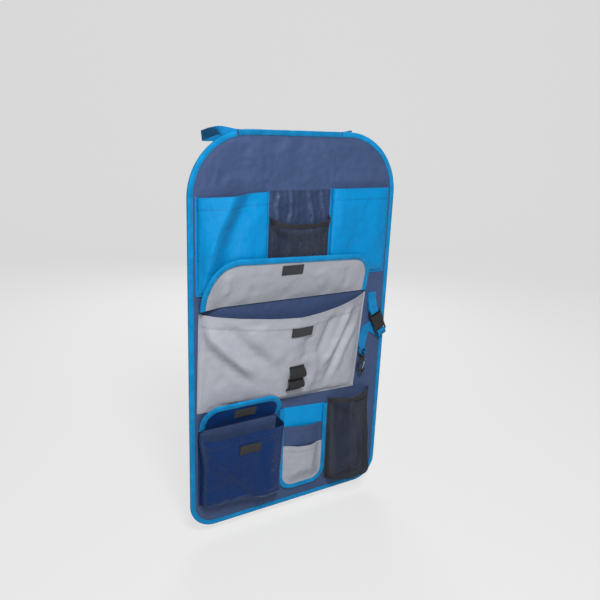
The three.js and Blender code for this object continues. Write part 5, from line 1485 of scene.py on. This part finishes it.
def tier_sheet(name, node, order, mouth, material, seed=0):
    """A layer of the stepped pocket: its backing, or the first or second pocket that stands out from it."""
    left, right, foot, radius = tier_frame()
    centre, half = (left + right) / 2, (right - left) / 2
    rows = int((mouth - foot - TIER_DENSE) / 2.4)
    up = np.concatenate([np.linspace(0, TIER_DENSE, 22)[:-1], np.linspace(TIER_DENSE, mouth - foot, rows)])
    x, up = np.meshgrid(np.linspace(left, right, 56), up)
    over = np.maximum(np.abs(x - centre) - (half - radius), 0)
    low = foot + radius - np.sqrt(np.maximum(radius**2 - over**2, 0))
    z = low + (mouth + TIER["tilt"] * (x - centre) / half - low) * up / (mouth - foot)
    beside, above = np.minimum(x - left, right - x), z - foot
    inward = np.minimum(beside, above)
    rounded = np.minimum(inward, radius - np.hypot(radius - beside, radius - above))
    inward = np.where((beside < radius) & (above < radius), rounded, inward)
    flat = TIER["reach"] + 2
    swell = smoothstep(inward, flat + 0.5, flat + 1.7 * TIER["slope"])
    y = LAYER - order * (CLOTH + GAP) - order * TIER["step"] * swell
    relief = np.zeros(x.shape)
    if order:
        under = z[-1:] - z
        hem = 0.3 * (1 - smoothstep(under, TIER_HEM - 1, TIER_HEM + 0.6))
        hem = hem - 0.35 * np.exp(-(((under - TIER_HEM - 0.4) / 1.4) ** 2))
        waves = 0.6 * soft_noise(x / 13, z / 40, seed) + 0.3 * crinkles(x, z, 16, seed + 1)
        relief = swell * (hem + waves + creases(x, z, TIER_FOLDS))
    grid = pushed(np.stack([x, y, z], axis=-1), np.clip(relief, -2, 2))
    piece = cloth_sheet(name, grid, CLOTH, material, node)
    declare_sheet(grid)
    return grid


def tier_tape(material):
    """Tape over the three raw edges of the tier's layers; returns the line of its seam."""
    left, right, foot, radius = tier_frame()
    top, tilt, reach = TIER["top"], TIER["tilt"], TIER["reach"]
    points, normals = rounded_line([(left, top - tilt), (left, foot), (right, foot), (right, top + tilt)],
                                   [radius, radius], 2.6, 4)
    stack = 3 * CLOTH + 2 * GAP
    face = LAYER + CLOTH / 2 - stack - GAP - TAPE
    wall = TAPE + GAP + stack
    profile = np.array([
        (reach, 0.4), (reach - 0.6, 0.12), (reach - 2, 0.34), (reach - 3.6, 0), (2, 0), (0, 0.1), (-0.9, 0.6),
        (-1.3, 1.6), (-1.3, wall), (-GAP, wall), (-GAP, TAPE), (5, TAPE), (reach, TAPE)])
    walked = walked_along(points)
    pucker = np.abs(0.14 * soft_noise(walked / 5, walked * 0, 171))
    along, out = profile[:, :1], profile[:, 1:]
    spot = points[None] + normals[None] * along[..., None]
    depth = face + out - pucker[None] * (out < 0.5)
    sections = np.stack([spot[..., 0], depth, spot[..., 1]], axis=-1).transpose(1, 0, 2)
    swept("tier_tape", sections, material, "tier_binding")
    spots = points + normals * (reach - 2)
    return np.column_stack([spots[:, 0], np.full(len(spots), face + 0.3), spots[:, 1]])


def make_tier():
    cloth = settings("organizer_cloth")
    # The backing's blue is the upper pockets' blue made paler: painted light, making up for the weaker light
    # low on the panel.
    blue = coated_cloth("tier_blue_painted_light_cloth", toned(cloth.blue, 1.15), roughness=(0.34, 0.48), spread=0.2)
    navy = coated_cloth("tier_navy_cloth", cloth.navy, roughness=(0.3, 0.44), spread=0.3, gloss=0.4)
    grey = coated_cloth("tier_grey_cloth", cloth.grey, roughness=(0.32, 0.46), spread=0.2, crease=1.2,
                        gloss=0.4)
    tier_sheet("tier_backing_cloth", "tier_backing", 0, TIER["top"], blue)
    rear = tier_sheet("tier_rear_cloth", "tier_rear_pocket", 1, TIER["rear_mouth"], navy, 163)
    front = tier_sheet("tier_front_cloth", "tier_front_pocket", 2, TIER["front_mouth"], grey,
                       165)
    for tone, grid in (("navy", rear), ("grey", front)):
        seam = seam_under(grid, TIER_HEM, 0.12, 0.88)
        stitch_row(f"tier_{tone}_stitches", [seam], tone)
    line = tier_tape(woven_tape("tier_tape_cloth", settings("organizer_trim").tape))
    stitch_row("tier_tape_stitches", [(line, facing_front(len(line)))], "tape")


def make_drink_net():
    net = settings("organizer_net")
    grid = DRINK.grid(NET_GRID)
    x, z = grid[..., 0], grid[..., 2]
    free = seam_fade(grid, DRINK, 14)
    mouth = smoothstep(z, DRINK.mouth - 60, DRINK.mouth - 10)
    waves = 3.2 * soft_noise(x / 15, z / 40, 181) + 1.6 * crinkles(x, z, 30, 184)
    waves = waves + 1.6 * mouth * soft_noise(x / 6, z / 40, 185) + creases(x, z, DRINK_NET_FOLDS)
    grid = pushed(grid, free * waves)
    thread = net_thread("lower_net_thread", toned(net.colour, 0.8))
    knotted_net("lower_net_cloth", "lower_net_pocket", grid, net.lower_thread, thread)
    elastic_edge("lower_elastic_band", "lower_net_elastic", DRINK, 183)


# Straps

WRAP_RADIUS = BUCKLE_BAR * math.sqrt(2) + GAP + WEBBING / 2
HALF_SPREAD = (WEBBING + GAP) / 2


def narrowing(start, end):
    """Half of the spread between a strap's two runs, from the bar's own at start to sewn together at end."""
    def spread(l):
        return WRAP_RADIUS + (HALF_SPREAD - WRAP_RADIUS) * min(max((l - start) / (end - start), 0), 1)
    return spread


def wrap(stops, spread):
    """Run of a strap round a bar: in along one face, round it, and back along the other."""
    front = [(l, -spread(l)) for l in stops]
    turn = [(-WRAP_RADIUS * math.sin(a), -WRAP_RADIUS * math.cos(a)) for a in np.linspace(0, math.pi, 9)]
    return front + turn + [(l, -y) for l, y in front[::-1]]


def strap_point(padded, shares, share):
    """Place at a share of a strap's length, on a smooth curve; the points have one more at each end."""
    i = int(np.clip(np.searchsorted(shares, share, side="right") - 1, 0, len(shares) - 2))
    t = (share - shares[i]) / max(shares[i + 1] - shares[i], 1e-9)
    a, b, c, d = padded[i:i + 4]
    before, after = (c - a) / 2, (d - b) / 2
    span = np.linalg.norm(c - b)
    before = before / max(np.linalg.norm(before), 1e-9) * span
    after = after / max(np.linalg.norm(after), 1e-9) * span
    return ((2 * t**3 - 3 * t**2 + 1) * b + (t**3 - 2 * t**2 + t) * before
            + (-2 * t**3 + 3 * t**2) * c + (t**3 - t**2) * after)


def strap_sheet(name, node, rows, material):
    """Webbing through rows of three points across it, smoothed along its length."""
    rows = np.array(rows, float)
    walked = walked_along(rows[:, 1])
    length = walked[-1]
    shares = np.linspace(0, 1, max(int(length / 2.2), 12) + 1)
    padded = np.concatenate([[2 * rows[0] - rows[1]], rows, [2 * rows[-1] - rows[-2]]])
    left, middle, right = (
        np.array([strap_point(padded[:, k], walked / length, share) for share in shares]) for k in range(3))
    across = np.linspace(0, 1, 9)
    grid = np.stack([left * (1 - min(2 * s, 1)) + middle * (1 - abs(2 * s - 1)) + right * max(2 * s - 1, 0)
                     for s in across], axis=1)
    width = np.linalg.norm(grid[len(grid) // 2, -1] - grid[len(grid) // 2, 0])
    uv = np.stack(np.meshgrid(across * width, shares * length), axis=-1)
    cloth_sheet(name, grid, WEBBING, material, node, uv)
    return grid


def webbing_seams(grid, rows):
    """Seams across a strap at some of its rows."""
    return [seam_on(grid, row=row, lift=WEBBING / 2, start=0.1, end=0.9) for row in rows]


LEASH_TILT = math.radians(26)
LEASH_DOWN = np.array([math.sin(LEASH_TILT), -math.cos(LEASH_TILT)])
LEASH_ACROSS = np.array([math.cos(LEASH_TILT), math.sin(LEASH_TILT)])
LEASH_TURN = np.array([178.0, 26.0])
SOCKET_BAR = LEASH_TURN + LEASH_DOWN * 8
LEASH_PLUG_BAR = SOCKET_BAR + LEASH_DOWN * PLUG_BAR
LEASH_LAYER = -PANEL_THICKNESS - GAP - WEBBING / 2
BUCKLE_MIDDLE = -PANEL_THICKNESS - 3 * (WEBBING + GAP) - 7.5 / 2
FOLD_POINT = np.array([168.0, -9.0])
RING_JOIN = np.array([157.0, -56.0])


def upper_leash_rows():
    """Rows across the leash's upper strap: from its seam on the panel round the socket's bar and back."""
    climb, sewn = 41.0, 29.0

    def place(aside, y, l):
        share = min(max((l - 8) / (sewn - 8), 0), 1)
        tilt = LEASH_TILT * (1 - share)
        spot = SOCKET_BAR - LEASH_DOWN * l if l < 8 else np.array([178.0, LEASH_TURN[1] + l - 8])
        fall = min(max((l - 2) / (sewn - 2), 0), 1)
        depth = BUCKLE_MIDDLE * (1 - fall) + (LEASH_LAYER - HALF_SPREAD) * fall
        return [spot[0] + aside * math.cos(tilt), depth + y, spot[1] + aside * math.sin(tilt)]

    path = wrap([climb, sewn, (sewn + 8) / 2, 8, 4], narrowing(0, sewn))
    return [[place(aside, y, l) for aside in (-LEASH_HALF_WIDTH, 0, LEASH_HALF_WIDTH)] for l, y in path]


def lower_leash_rows():
    """Rows across the leash's lower strap: round the plug's bar, up behind it and folded to the ring."""
    tail = LEASH_PLUG_BAR + LEASH_DOWN * 9
    upward, downward = unit(FOLD_POINT - tail), unit(RING_JOIN - FOLD_POINT)
    fold_line = unit(-(upward + downward))
    up_across = np.array([upward[1], -upward[0]])
    down_across = np.array([-downward[1], downward[0]])
    half = LEASH_HALF_WIDTH
    fold_half = half / abs(fold_line @ up_across)

    def row(centre, across, reach, y):
        return [[centre[0] + across[0] * a, y, centre[1] + across[1] * a] for a in (-reach, 0, reach)]

    def mixed(share):
        return unit(LEASH_ACROSS * (1 - share) + up_across * share)

    def along(l):
        return LEASH_PLUG_BAR + LEASH_DOWN * l

    path = wrap([9, 4.5], narrowing(0, 9))
    rear = LEASH_LAYER
    front = LEASH_LAYER - WEBBING - GAP
    over_tape = rear - TAPE - GAP
    return [row(along(l), LEASH_ACROSS, half, BUCKLE_MIDDLE + y) for l, y in path] + [
        row(along(12), mixed(0.3), half, (BUCKLE_MIDDLE + over_tape) / 2 + 0.6),
        row(tail, mixed(0.7), half, over_tape),
        row(tail + upward * 10, up_across, half, over_tape),
        row(FOLD_POINT, fold_line, fold_half, rear),
        row(FOLD_POINT + upward * WEBBING / 2, fold_line, fold_half, (rear + front) / 2),
        row(FOLD_POINT, fold_line, fold_half, front),
        row(FOLD_POINT * 0.4 + RING_JOIN * 0.6, down_across, half, front),
        row(RING_JOIN, down_across, 7.1, front - 4),
    ]


def ring_grid():
    """Webbing loop that the hook's eye hangs in, as rows of points round it."""
    depth = LEASH_LAYER - 1.5 * WEBBING - 2 * GAP - 8
    x, z = RING_JOIN[0] - 1, RING_JOIN[1] - 8.5 + 3
    turns = np.linspace(0, 2 * math.pi, 41)
    wide, high = 6.5 - WEBBING / 2, 8.5 - WEBBING / 2
    return np.array([[[x + wide * math.cos(a), depth + aside, z + high * math.sin(a)] for a in turns]
                     for aside in np.linspace(-4, 4, 9)])


def make_key_leash():
    webbing = strap_webbing("leash_webbing", settings("organizer_trim").webbing)
    upper = strap_sheet("leash_upper_webbing", "leash_upper_strap", upper_leash_rows(), webbing)
    lower = strap_sheet("leash_lower_webbing", "leash_lower_strap", lower_leash_rows(), webbing)
    cloth_sheet("leash_ring_webbing", ring_grid(), WEBBING - 0.1, webbing, "leash_ring")
    lines = webbing_seams(upper, (2, 5)) + webbing_seams(lower, (2, -4))
    stitch_row("leash_stitches", lines, "tape")


def post_strap_rows(side):
    """Rows across one half of the post strap: from behind the panel outward, and back to its buckle."""
    edge = TOP_TAPE[0] if side < 0 else TOP_TAPE[1]
    bar = sum(TOP_TAPE) / 2 + side * PLUG_BAR / 2
    outer, start = edge + side * 30, edge - side * 26
    sewn = TAPE + 2 * GAP + WEBBING / 2
    reach = POST_STRAP_REACH
    far = reach - HALF_SPREAD
    corners = [(start, sewn), (outer, sewn), (outer, far), (bar + side * 26, far)]
    points, normals = rounded_line(corners, [18, 40], spacing=9, arc=9)
    asides = (-POST_STRAP_HALF_WIDTH, 0, POST_STRAP_HALF_WIDTH)
    rows = []
    for point, normal in zip(points, normals):
        out = min(max(side * (point[0] - edge) / 30, 0), 1)
        back = float(smoothstep(point[1], sewn, reach))
        roll = math.radians(50) * out * (1 - back) * float(smoothstep(point[1], sewn, 20))
        height = 361 + 5 * out * (1 - back) - 8 * back
        inward = normal * -side
        leans = [(aside * math.sin(roll), aside * math.cos(roll)) for aside in asides]
        rows.append([[point[0] + inward[0] * a, point[1] + inward[1] * a, height + up] for a, up in leans])
    loop = wrap([13, 6.5], narrowing(6.5, 13))
    for l, y in loop:
        rows.append([[bar + side * l, reach + y, 353.0 + aside] for aside in asides])
    return rows


def make_post_strap():
    webbing = strap_webbing("post_strap_webbing", toned(settings("organizer_trim").webbing, 1.15))
    lines = []
    for side, name in ((-1, "left"), (1, "right")):
        grid = strap_sheet(f"strap_{name}_webbing", f"strap_{name}", post_strap_rows(side), webbing)
        for points, out in webbing_seams(grid, (3, 8)):
            if out[0][1] < 0:
                points, out = points - out * WEBBING, -out
            lines.append((points, out))
    stitch_row("post_strap_stitches", lines, "tape")


# Hardware

def carried_over(node, name):
    """A copy of a solid's mesh as an object of its own."""
    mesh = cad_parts[node].data.copy()
    mesh.name = name
    return in_scene(name, mesh)


def stand_in(piece, node, material, body):
    """Give a finished piece its material and its body, in place of its solid."""
    piece.data.materials.clear()
    piece.data.materials.append(material)
    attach(piece, body)
    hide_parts(node)


def moulding(node, name, material, body, rounding):
    """A solid's own shape with its flat faces cleaned up and its edges rounded over."""
    piece = carried_over(node, name)
    mesh = piece.data
    form = bmesh.new()
    form.from_mesh(mesh)
    bmesh.ops.remove_doubles(form, verts=form.verts, dist=1e-6)
    bmesh.ops.dissolve_limit(form, angle_limit=math.radians(2), verts=form.verts, edges=form.edges)
    form.to_mesh(mesh)
    form.free()
    bevel = piece.modifiers.new("Rounded edges", "BEVEL")
    bevel.width = rounding
    bevel.segments = 3
    bevel.limit_method = "ANGLE"
    bevel.angle_limit = math.radians(35)
    bevel.use_clamp_overlap = True
    bevel.harden_normals = True
    mesh.shade_smooth()
    mesh.set_sharp_from_angle(angle=math.radians(50))
    stand_in(piece, node, material, body)


def cast_form(node, name, material, body, voxel, passes):
    """A solid's own shape with all its edges worn round, as a cast or moulded ring has them."""
    piece = carried_over(node, name)
    remesh = piece.modifiers.new("Even skin", "REMESH")
    remesh.mode = "VOXEL"
    remesh.voxel_size = voxel
    smooth = piece.modifiers.new("Worn edges", "SMOOTH")
    smooth.factor = 0.5
    smooth.iterations = passes
    bpy.context.view_layer.update()
    evaluated = piece.evaluated_get(bpy.context.evaluated_depsgraph_get())
    applied = bpy.data.meshes.new_from_object(evaluated)
    piece.modifiers.clear()
    piece.data = applied
    applied.name = name
    applied.shade_smooth()
    stand_in(piece, node, material, body)


def make_buckles():
    hardware = settings("organizer_hardware")
    plastic = moulded_plastic("buckle_plastic", hardware.plastic)
    for node in ("leash_socket", "leash_plug", "strap_socket", "strap_plug"):
        moulding(node, f"{node}_moulding", plastic, "panel", hardware.rounding)


def make_snap_hook():
    hardware = settings("organizer_hardware")
    plastic = moulded_plastic("hook_plastic", hardware.plastic)
    metal = plated_metal("gate_metal", hardware.metal)
    moulding("hook_eye", "hook_eye_moulding", plastic, "eye", hardware.rounding)
    cast_form("hook_body", "hook_body_moulding", plastic, "hook", 0.0004, 5)
    moulding("hook_gate", "hook_gate_spring", metal, "gate", hardware.rounding * 0.7)
    moulding("gate_pin", "gate_pin_rivet", metal, "hook", hardware.rounding * 0.5)


# Studio

CAMERA_PLACE = (-0.5803, -0.9567, 0.3788)
CAMERA_RIGHT = (0.8561, -0.5155, 0.0379)
CAMERA_UP = (0.1096, 0.2527, 0.9613)
CAMERA_LOOK = (0.5051, 0.8188, -0.2729)
CAMERA_LENS = 36.94
BACKDROP_WHITE = 0.93


def make_camera():
    data = bpy.data.cameras.new("studio_camera")
    data.lens = CAMERA_LENS
    data.sensor_width = 36
    data.clip_start = 0.01
    camera = in_scene("studio_camera", data)
    turn = Matrix((CAMERA_RIGHT, CAMERA_UP, [-c for c in CAMERA_LOOK])).transposed()
    camera.matrix_world = Matrix.Translation(CAMERA_PLACE) @ turn.to_4x4()
    bpy.context.scene.camera = camera


def studio_light(name, place, side, power):
    """A square lamp of this side that looks at the organizer's middle."""
    data = bpy.data.lights.new(name, "AREA")
    data.shape = "RECTANGLE"
    data.size = data.size_y = side
    data.energy = power
    light = in_scene(name, data)
    light.location = place
    light.rotation_euler = (-Vector(place)).to_track_quat("-Z", "Y").to_euler()


def plain_light(nodes, kind, grey, strength):
    """A shader that gives an even light of one grey."""
    node = nodes.new(kind)
    node.inputs["Color"].default_value = (grey, grey, grey, 1)
    node.inputs["Strength"].default_value = strength
    return node


def seen_white(material, colour, paler):
    """Floor and backdrop paint that keeps shadows and looks paler to the camera than it really is."""
    nodes, links = material.node_tree.nodes, material.node_tree.links
    nodes.clear()
    diffuse = nodes.new("ShaderNodeBsdfDiffuse")
    diffuse.inputs["Color"].default_value = colour
    plain = plain_light(nodes, "ShaderNodeEmission", 1, BACKDROP_WHITE)
    rays = nodes.new("ShaderNodeLightPath")
    share = math_node(material, "MULTIPLY", rays.outputs["Is Camera Ray"], paler)
    mix = nodes.new("ShaderNodeMixShader")
    links.new(share, mix.inputs["Fac"])
    links.new(diffuse.outputs["BSDF"], mix.inputs[1])
    links.new(plain.outputs["Emission"], mix.inputs[2])
    output = nodes.new("ShaderNodeOutputMaterial")
    links.new(mix.outputs["Shader"], output.inputs["Surface"])


def make_ground(height, colour):
    """A floor that rises behind the organizer as a backdrop, square to the camera's look."""
    paint = bpy.data.materials.new("studio_paint")
    paint.use_nodes = True
    seen_white(paint, colour, 0.7)
    turns = np.linspace(0.1, math.pi / 2, 14)
    bend = [(2.2 + 0.8 * math.sin(a), height + 0.8 - 0.8 * math.cos(a)) for a in turns]
    profile = [(-3.0, height), (2.2, height)] + bend + [(3.0, height + 3.4)]
    angle = math.atan2(CAMERA_LOOK[0], CAMERA_LOOK[1])
    c, s = math.cos(angle), math.sin(angle)
    vertices = [(x * c + y * s, -x * s + y * c, z) for y, z in profile for x in (-4.0, 4.0)]
    faces = [(2 * k, 2 * k + 1, 2 * k + 3, 2 * k + 2) for k in range(len(profile) - 1)]
    mesh = bpy.data.meshes.new("studio_ground")
    mesh.from_pydata(vertices, [], faces)
    mesh.shade_smooth()
    mesh.materials.append(paint)
    in_scene("studio_ground", mesh)


def make_sky(strength):
    """Even light from all round, which the camera sees as a pale backdrop."""
    world = bpy.data.worlds.new("studio_sky")
    bpy.context.scene.world = world
    world.use_nodes = True
    nodes, links = world.node_tree.nodes, world.node_tree.links
    nodes.clear()
    rays = nodes.new("ShaderNodeLightPath")
    even = plain_light(nodes, "ShaderNodeBackground", 1, strength)
    seen = plain_light(nodes, "ShaderNodeBackground", BACKDROP_WHITE, 1)
    mix = nodes.new("ShaderNodeMixShader")
    output = nodes.new("ShaderNodeOutputWorld")
    links.new(rays.outputs["Is Camera Ray"], mix.inputs["Fac"])
    links.new(even.outputs["Background"], mix.inputs[1])
    links.new(seen.outputs["Background"], mix.inputs[2])
    links.new(mix.outputs["Shader"], output.inputs["Surface"])


def make_stage():
    studio = settings("organizer_studio")
    make_ground(solid_box[0][2] - studio.drop, studio.floor)
    studio_light("key_light", (-0.45, -1.25, 1.35), 0.5, studio.key_power)
    studio_light("fill_light", (-0.50, -1.50, 0.10), 0.6, studio.fill_power)
    studio_light("back_light", (0.75, 1.6, 0.9), 0.9, studio.back_power)
    make_sky(studio.sky)
    bpy.context.scene.view_settings.view_transform = "Standard"


# Operators, panel and registration

class ORGANIZER_OT_panel(bpy.types.Operator):
    """Make the hanging back panel"""
    bl_idname = "organizer.panel"
    bl_label = "Back panel"

    def execute(self, context):
        make_panel()
        return {"FINISHED"}


class ORGANIZER_OT_edge_tapes(bpy.types.Operator):
    """Fold the tapes round the panel's edge and sew them"""
    bl_idname = "organizer.edge_tapes"
    bl_label = "Edge tapes"

    def execute(self, context):
        make_edge_tapes()
        return {"FINISHED"}


class ORGANIZER_OT_upper_pockets(bpy.types.Operator):
    """Make the two upper pockets and the gathered column between them"""
    bl_idname = "organizer.upper_pockets"
    bl_label = "Upper pockets"

    def execute(self, context):
        make_upper_pockets()
        return {"FINISHED"}


class ORGANIZER_OT_upper_net(bpy.types.Operator):
    """Knit the upper net and sew on its elastic"""
    bl_idname = "organizer.upper_net"
    bl_label = "Upper net"

    def execute(self, context):
        make_upper_net()
        return {"FINISHED"}


class ORGANIZER_OT_main_pocket(bpy.types.Operator):
    """Make the wide main pocket, its fastener and its elastic loops"""
    bl_idname = "organizer.main_pocket"
    bl_label = "Main pocket"

    def execute(self, context):
        make_main_trims(make_main_pocket())
        return {"FINISHED"}


class ORGANIZER_OT_main_flap(bpy.types.Operator):
    """Make the main pocket's flap, standing open"""
    bl_idname = "organizer.main_flap"
    bl_label = "Main flap"

    def execute(self, context):
        make_main_flap()
        return {"FINISHED"}


class ORGANIZER_OT_lower_pocket(bpy.types.Operator):
    """Make the lower left pocket with its flap and fasteners"""
    bl_idname = "organizer.lower_pocket"
    bl_label = "Lower pocket"

    def execute(self, context):
        make_lower_pocket()
        return {"FINISHED"}


class ORGANIZER_OT_tier(bpy.types.Operator):
    """Make the tier of two narrow pockets and its tape"""
    bl_idname = "organizer.tier"
    bl_label = "Tier"

    def execute(self, context):
        make_tier()
        return {"FINISHED"}


class ORGANIZER_OT_drink_net(bpy.types.Operator):
    """Knit the tall net pocket and sew on its elastic"""
    bl_idname = "organizer.drink_net"
    bl_label = "Tall net pocket"

    def execute(self, context):
        make_drink_net()
        return {"FINISHED"}


class ORGANIZER_OT_key_leash(bpy.types.Operator):
    """Make the key leash's webbing and its ring"""
    bl_idname = "organizer.key_leash"
    bl_label = "Key leash"

    def execute(self, context):
        make_key_leash()
        return {"FINISHED"}


class ORGANIZER_OT_post_strap(bpy.types.Operator):
    """Make the strap that goes round the posts"""
    bl_idname = "organizer.post_strap"
    bl_label = "Post strap"

    def execute(self, context):
        make_post_strap()
        return {"FINISHED"}


class ORGANIZER_OT_buckles(bpy.types.Operator):
    """Round the edges of the two side-release buckles"""
    bl_idname = "organizer.buckles"
    bl_label = "Buckles"

    def execute(self, context):
        make_buckles()
        return {"FINISHED"}


class ORGANIZER_OT_snap_hook(bpy.types.Operator):
    """Make the snap hook with its eye, gate and pin"""
    bl_idname = "organizer.snap_hook"
    bl_label = "Snap hook"

    def execute(self, context):
        make_snap_hook()
        return {"FINISHED"}


class ORGANIZER_OT_stage(bpy.types.Operator):
    """Set the floor, the light and the camera"""
    bl_idname = "organizer.stage"
    bl_label = "Studio"

    def execute(self, context):
        make_camera()
        make_stage()
        return {"FINISHED"}


OPERATORS = (
    ORGANIZER_OT_panel, ORGANIZER_OT_edge_tapes, ORGANIZER_OT_upper_pockets, ORGANIZER_OT_upper_net,
    ORGANIZER_OT_main_pocket, ORGANIZER_OT_main_flap, ORGANIZER_OT_lower_pocket, ORGANIZER_OT_tier,
    ORGANIZER_OT_drink_net, ORGANIZER_OT_key_leash, ORGANIZER_OT_post_strap, ORGANIZER_OT_buckles,
    ORGANIZER_OT_snap_hook, ORGANIZER_OT_stage,
)

GROUPS = (
    ("organizer_cloth", ClothSettings), ("organizer_trim", TrimSettings), ("organizer_net", NetSettings),
    ("organizer_hardware", HardwareSettings), ("organizer_studio", StudioSettings),
)


class ORGANIZER_PT_sidebar(bpy.types.Panel):
    """Lists the organizer's pieces and their settings"""
    bl_idname = "ORGANIZER_PT_sidebar"
    bl_label = "Pocket Organizer"
    bl_space_type = "VIEW_3D"
    bl_region_type = "UI"
    bl_category = "Organizer"

    def draw(self, context):
        for attribute, group in GROUPS:
            box = self.layout.box()
            box.label(text=group.__name__)
            for name in group.__annotations__:
                box.prop(getattr(context.scene, attribute), name)
        for operator in OPERATORS:
            self.layout.operator(operator.bl_idname)


def register():
    for attribute, group in GROUPS:
        bpy.utils.register_class(group)
        setattr(bpy.types.Scene, attribute, bpy.props.PointerProperty(type=group))
    for operator in OPERATORS:
        bpy.utils.register_class(operator)
    bpy.utils.register_class(ORGANIZER_PT_sidebar)


def unregister():
    bpy.utils.unregister_class(ORGANIZER_PT_sidebar)
    for operator in reversed(OPERATORS):
        bpy.utils.unregister_class(operator)
    for attribute, group in reversed(GROUPS):
        delattr(bpy.types.Scene, attribute)
        bpy.utils.unregister_class(group)


def main():
    register()
    bpy.ops.organizer.panel()
    bpy.ops.organizer.edge_tapes()
    bpy.ops.organizer.upper_pockets()
    bpy.ops.organizer.upper_net()
    bpy.ops.organizer.main_pocket()
    bpy.ops.organizer.main_flap()
    bpy.ops.organizer.lower_pocket()
    bpy.ops.organizer.tier()
    bpy.ops.organizer.drink_net()
    bpy.ops.organizer.key_leash()
    bpy.ops.organizer.post_strap()
    bpy.ops.organizer.buckles()
    bpy.ops.organizer.snap_hook()
    bpy.ops.organizer.stage()


if __name__ == "__main__":
    main()
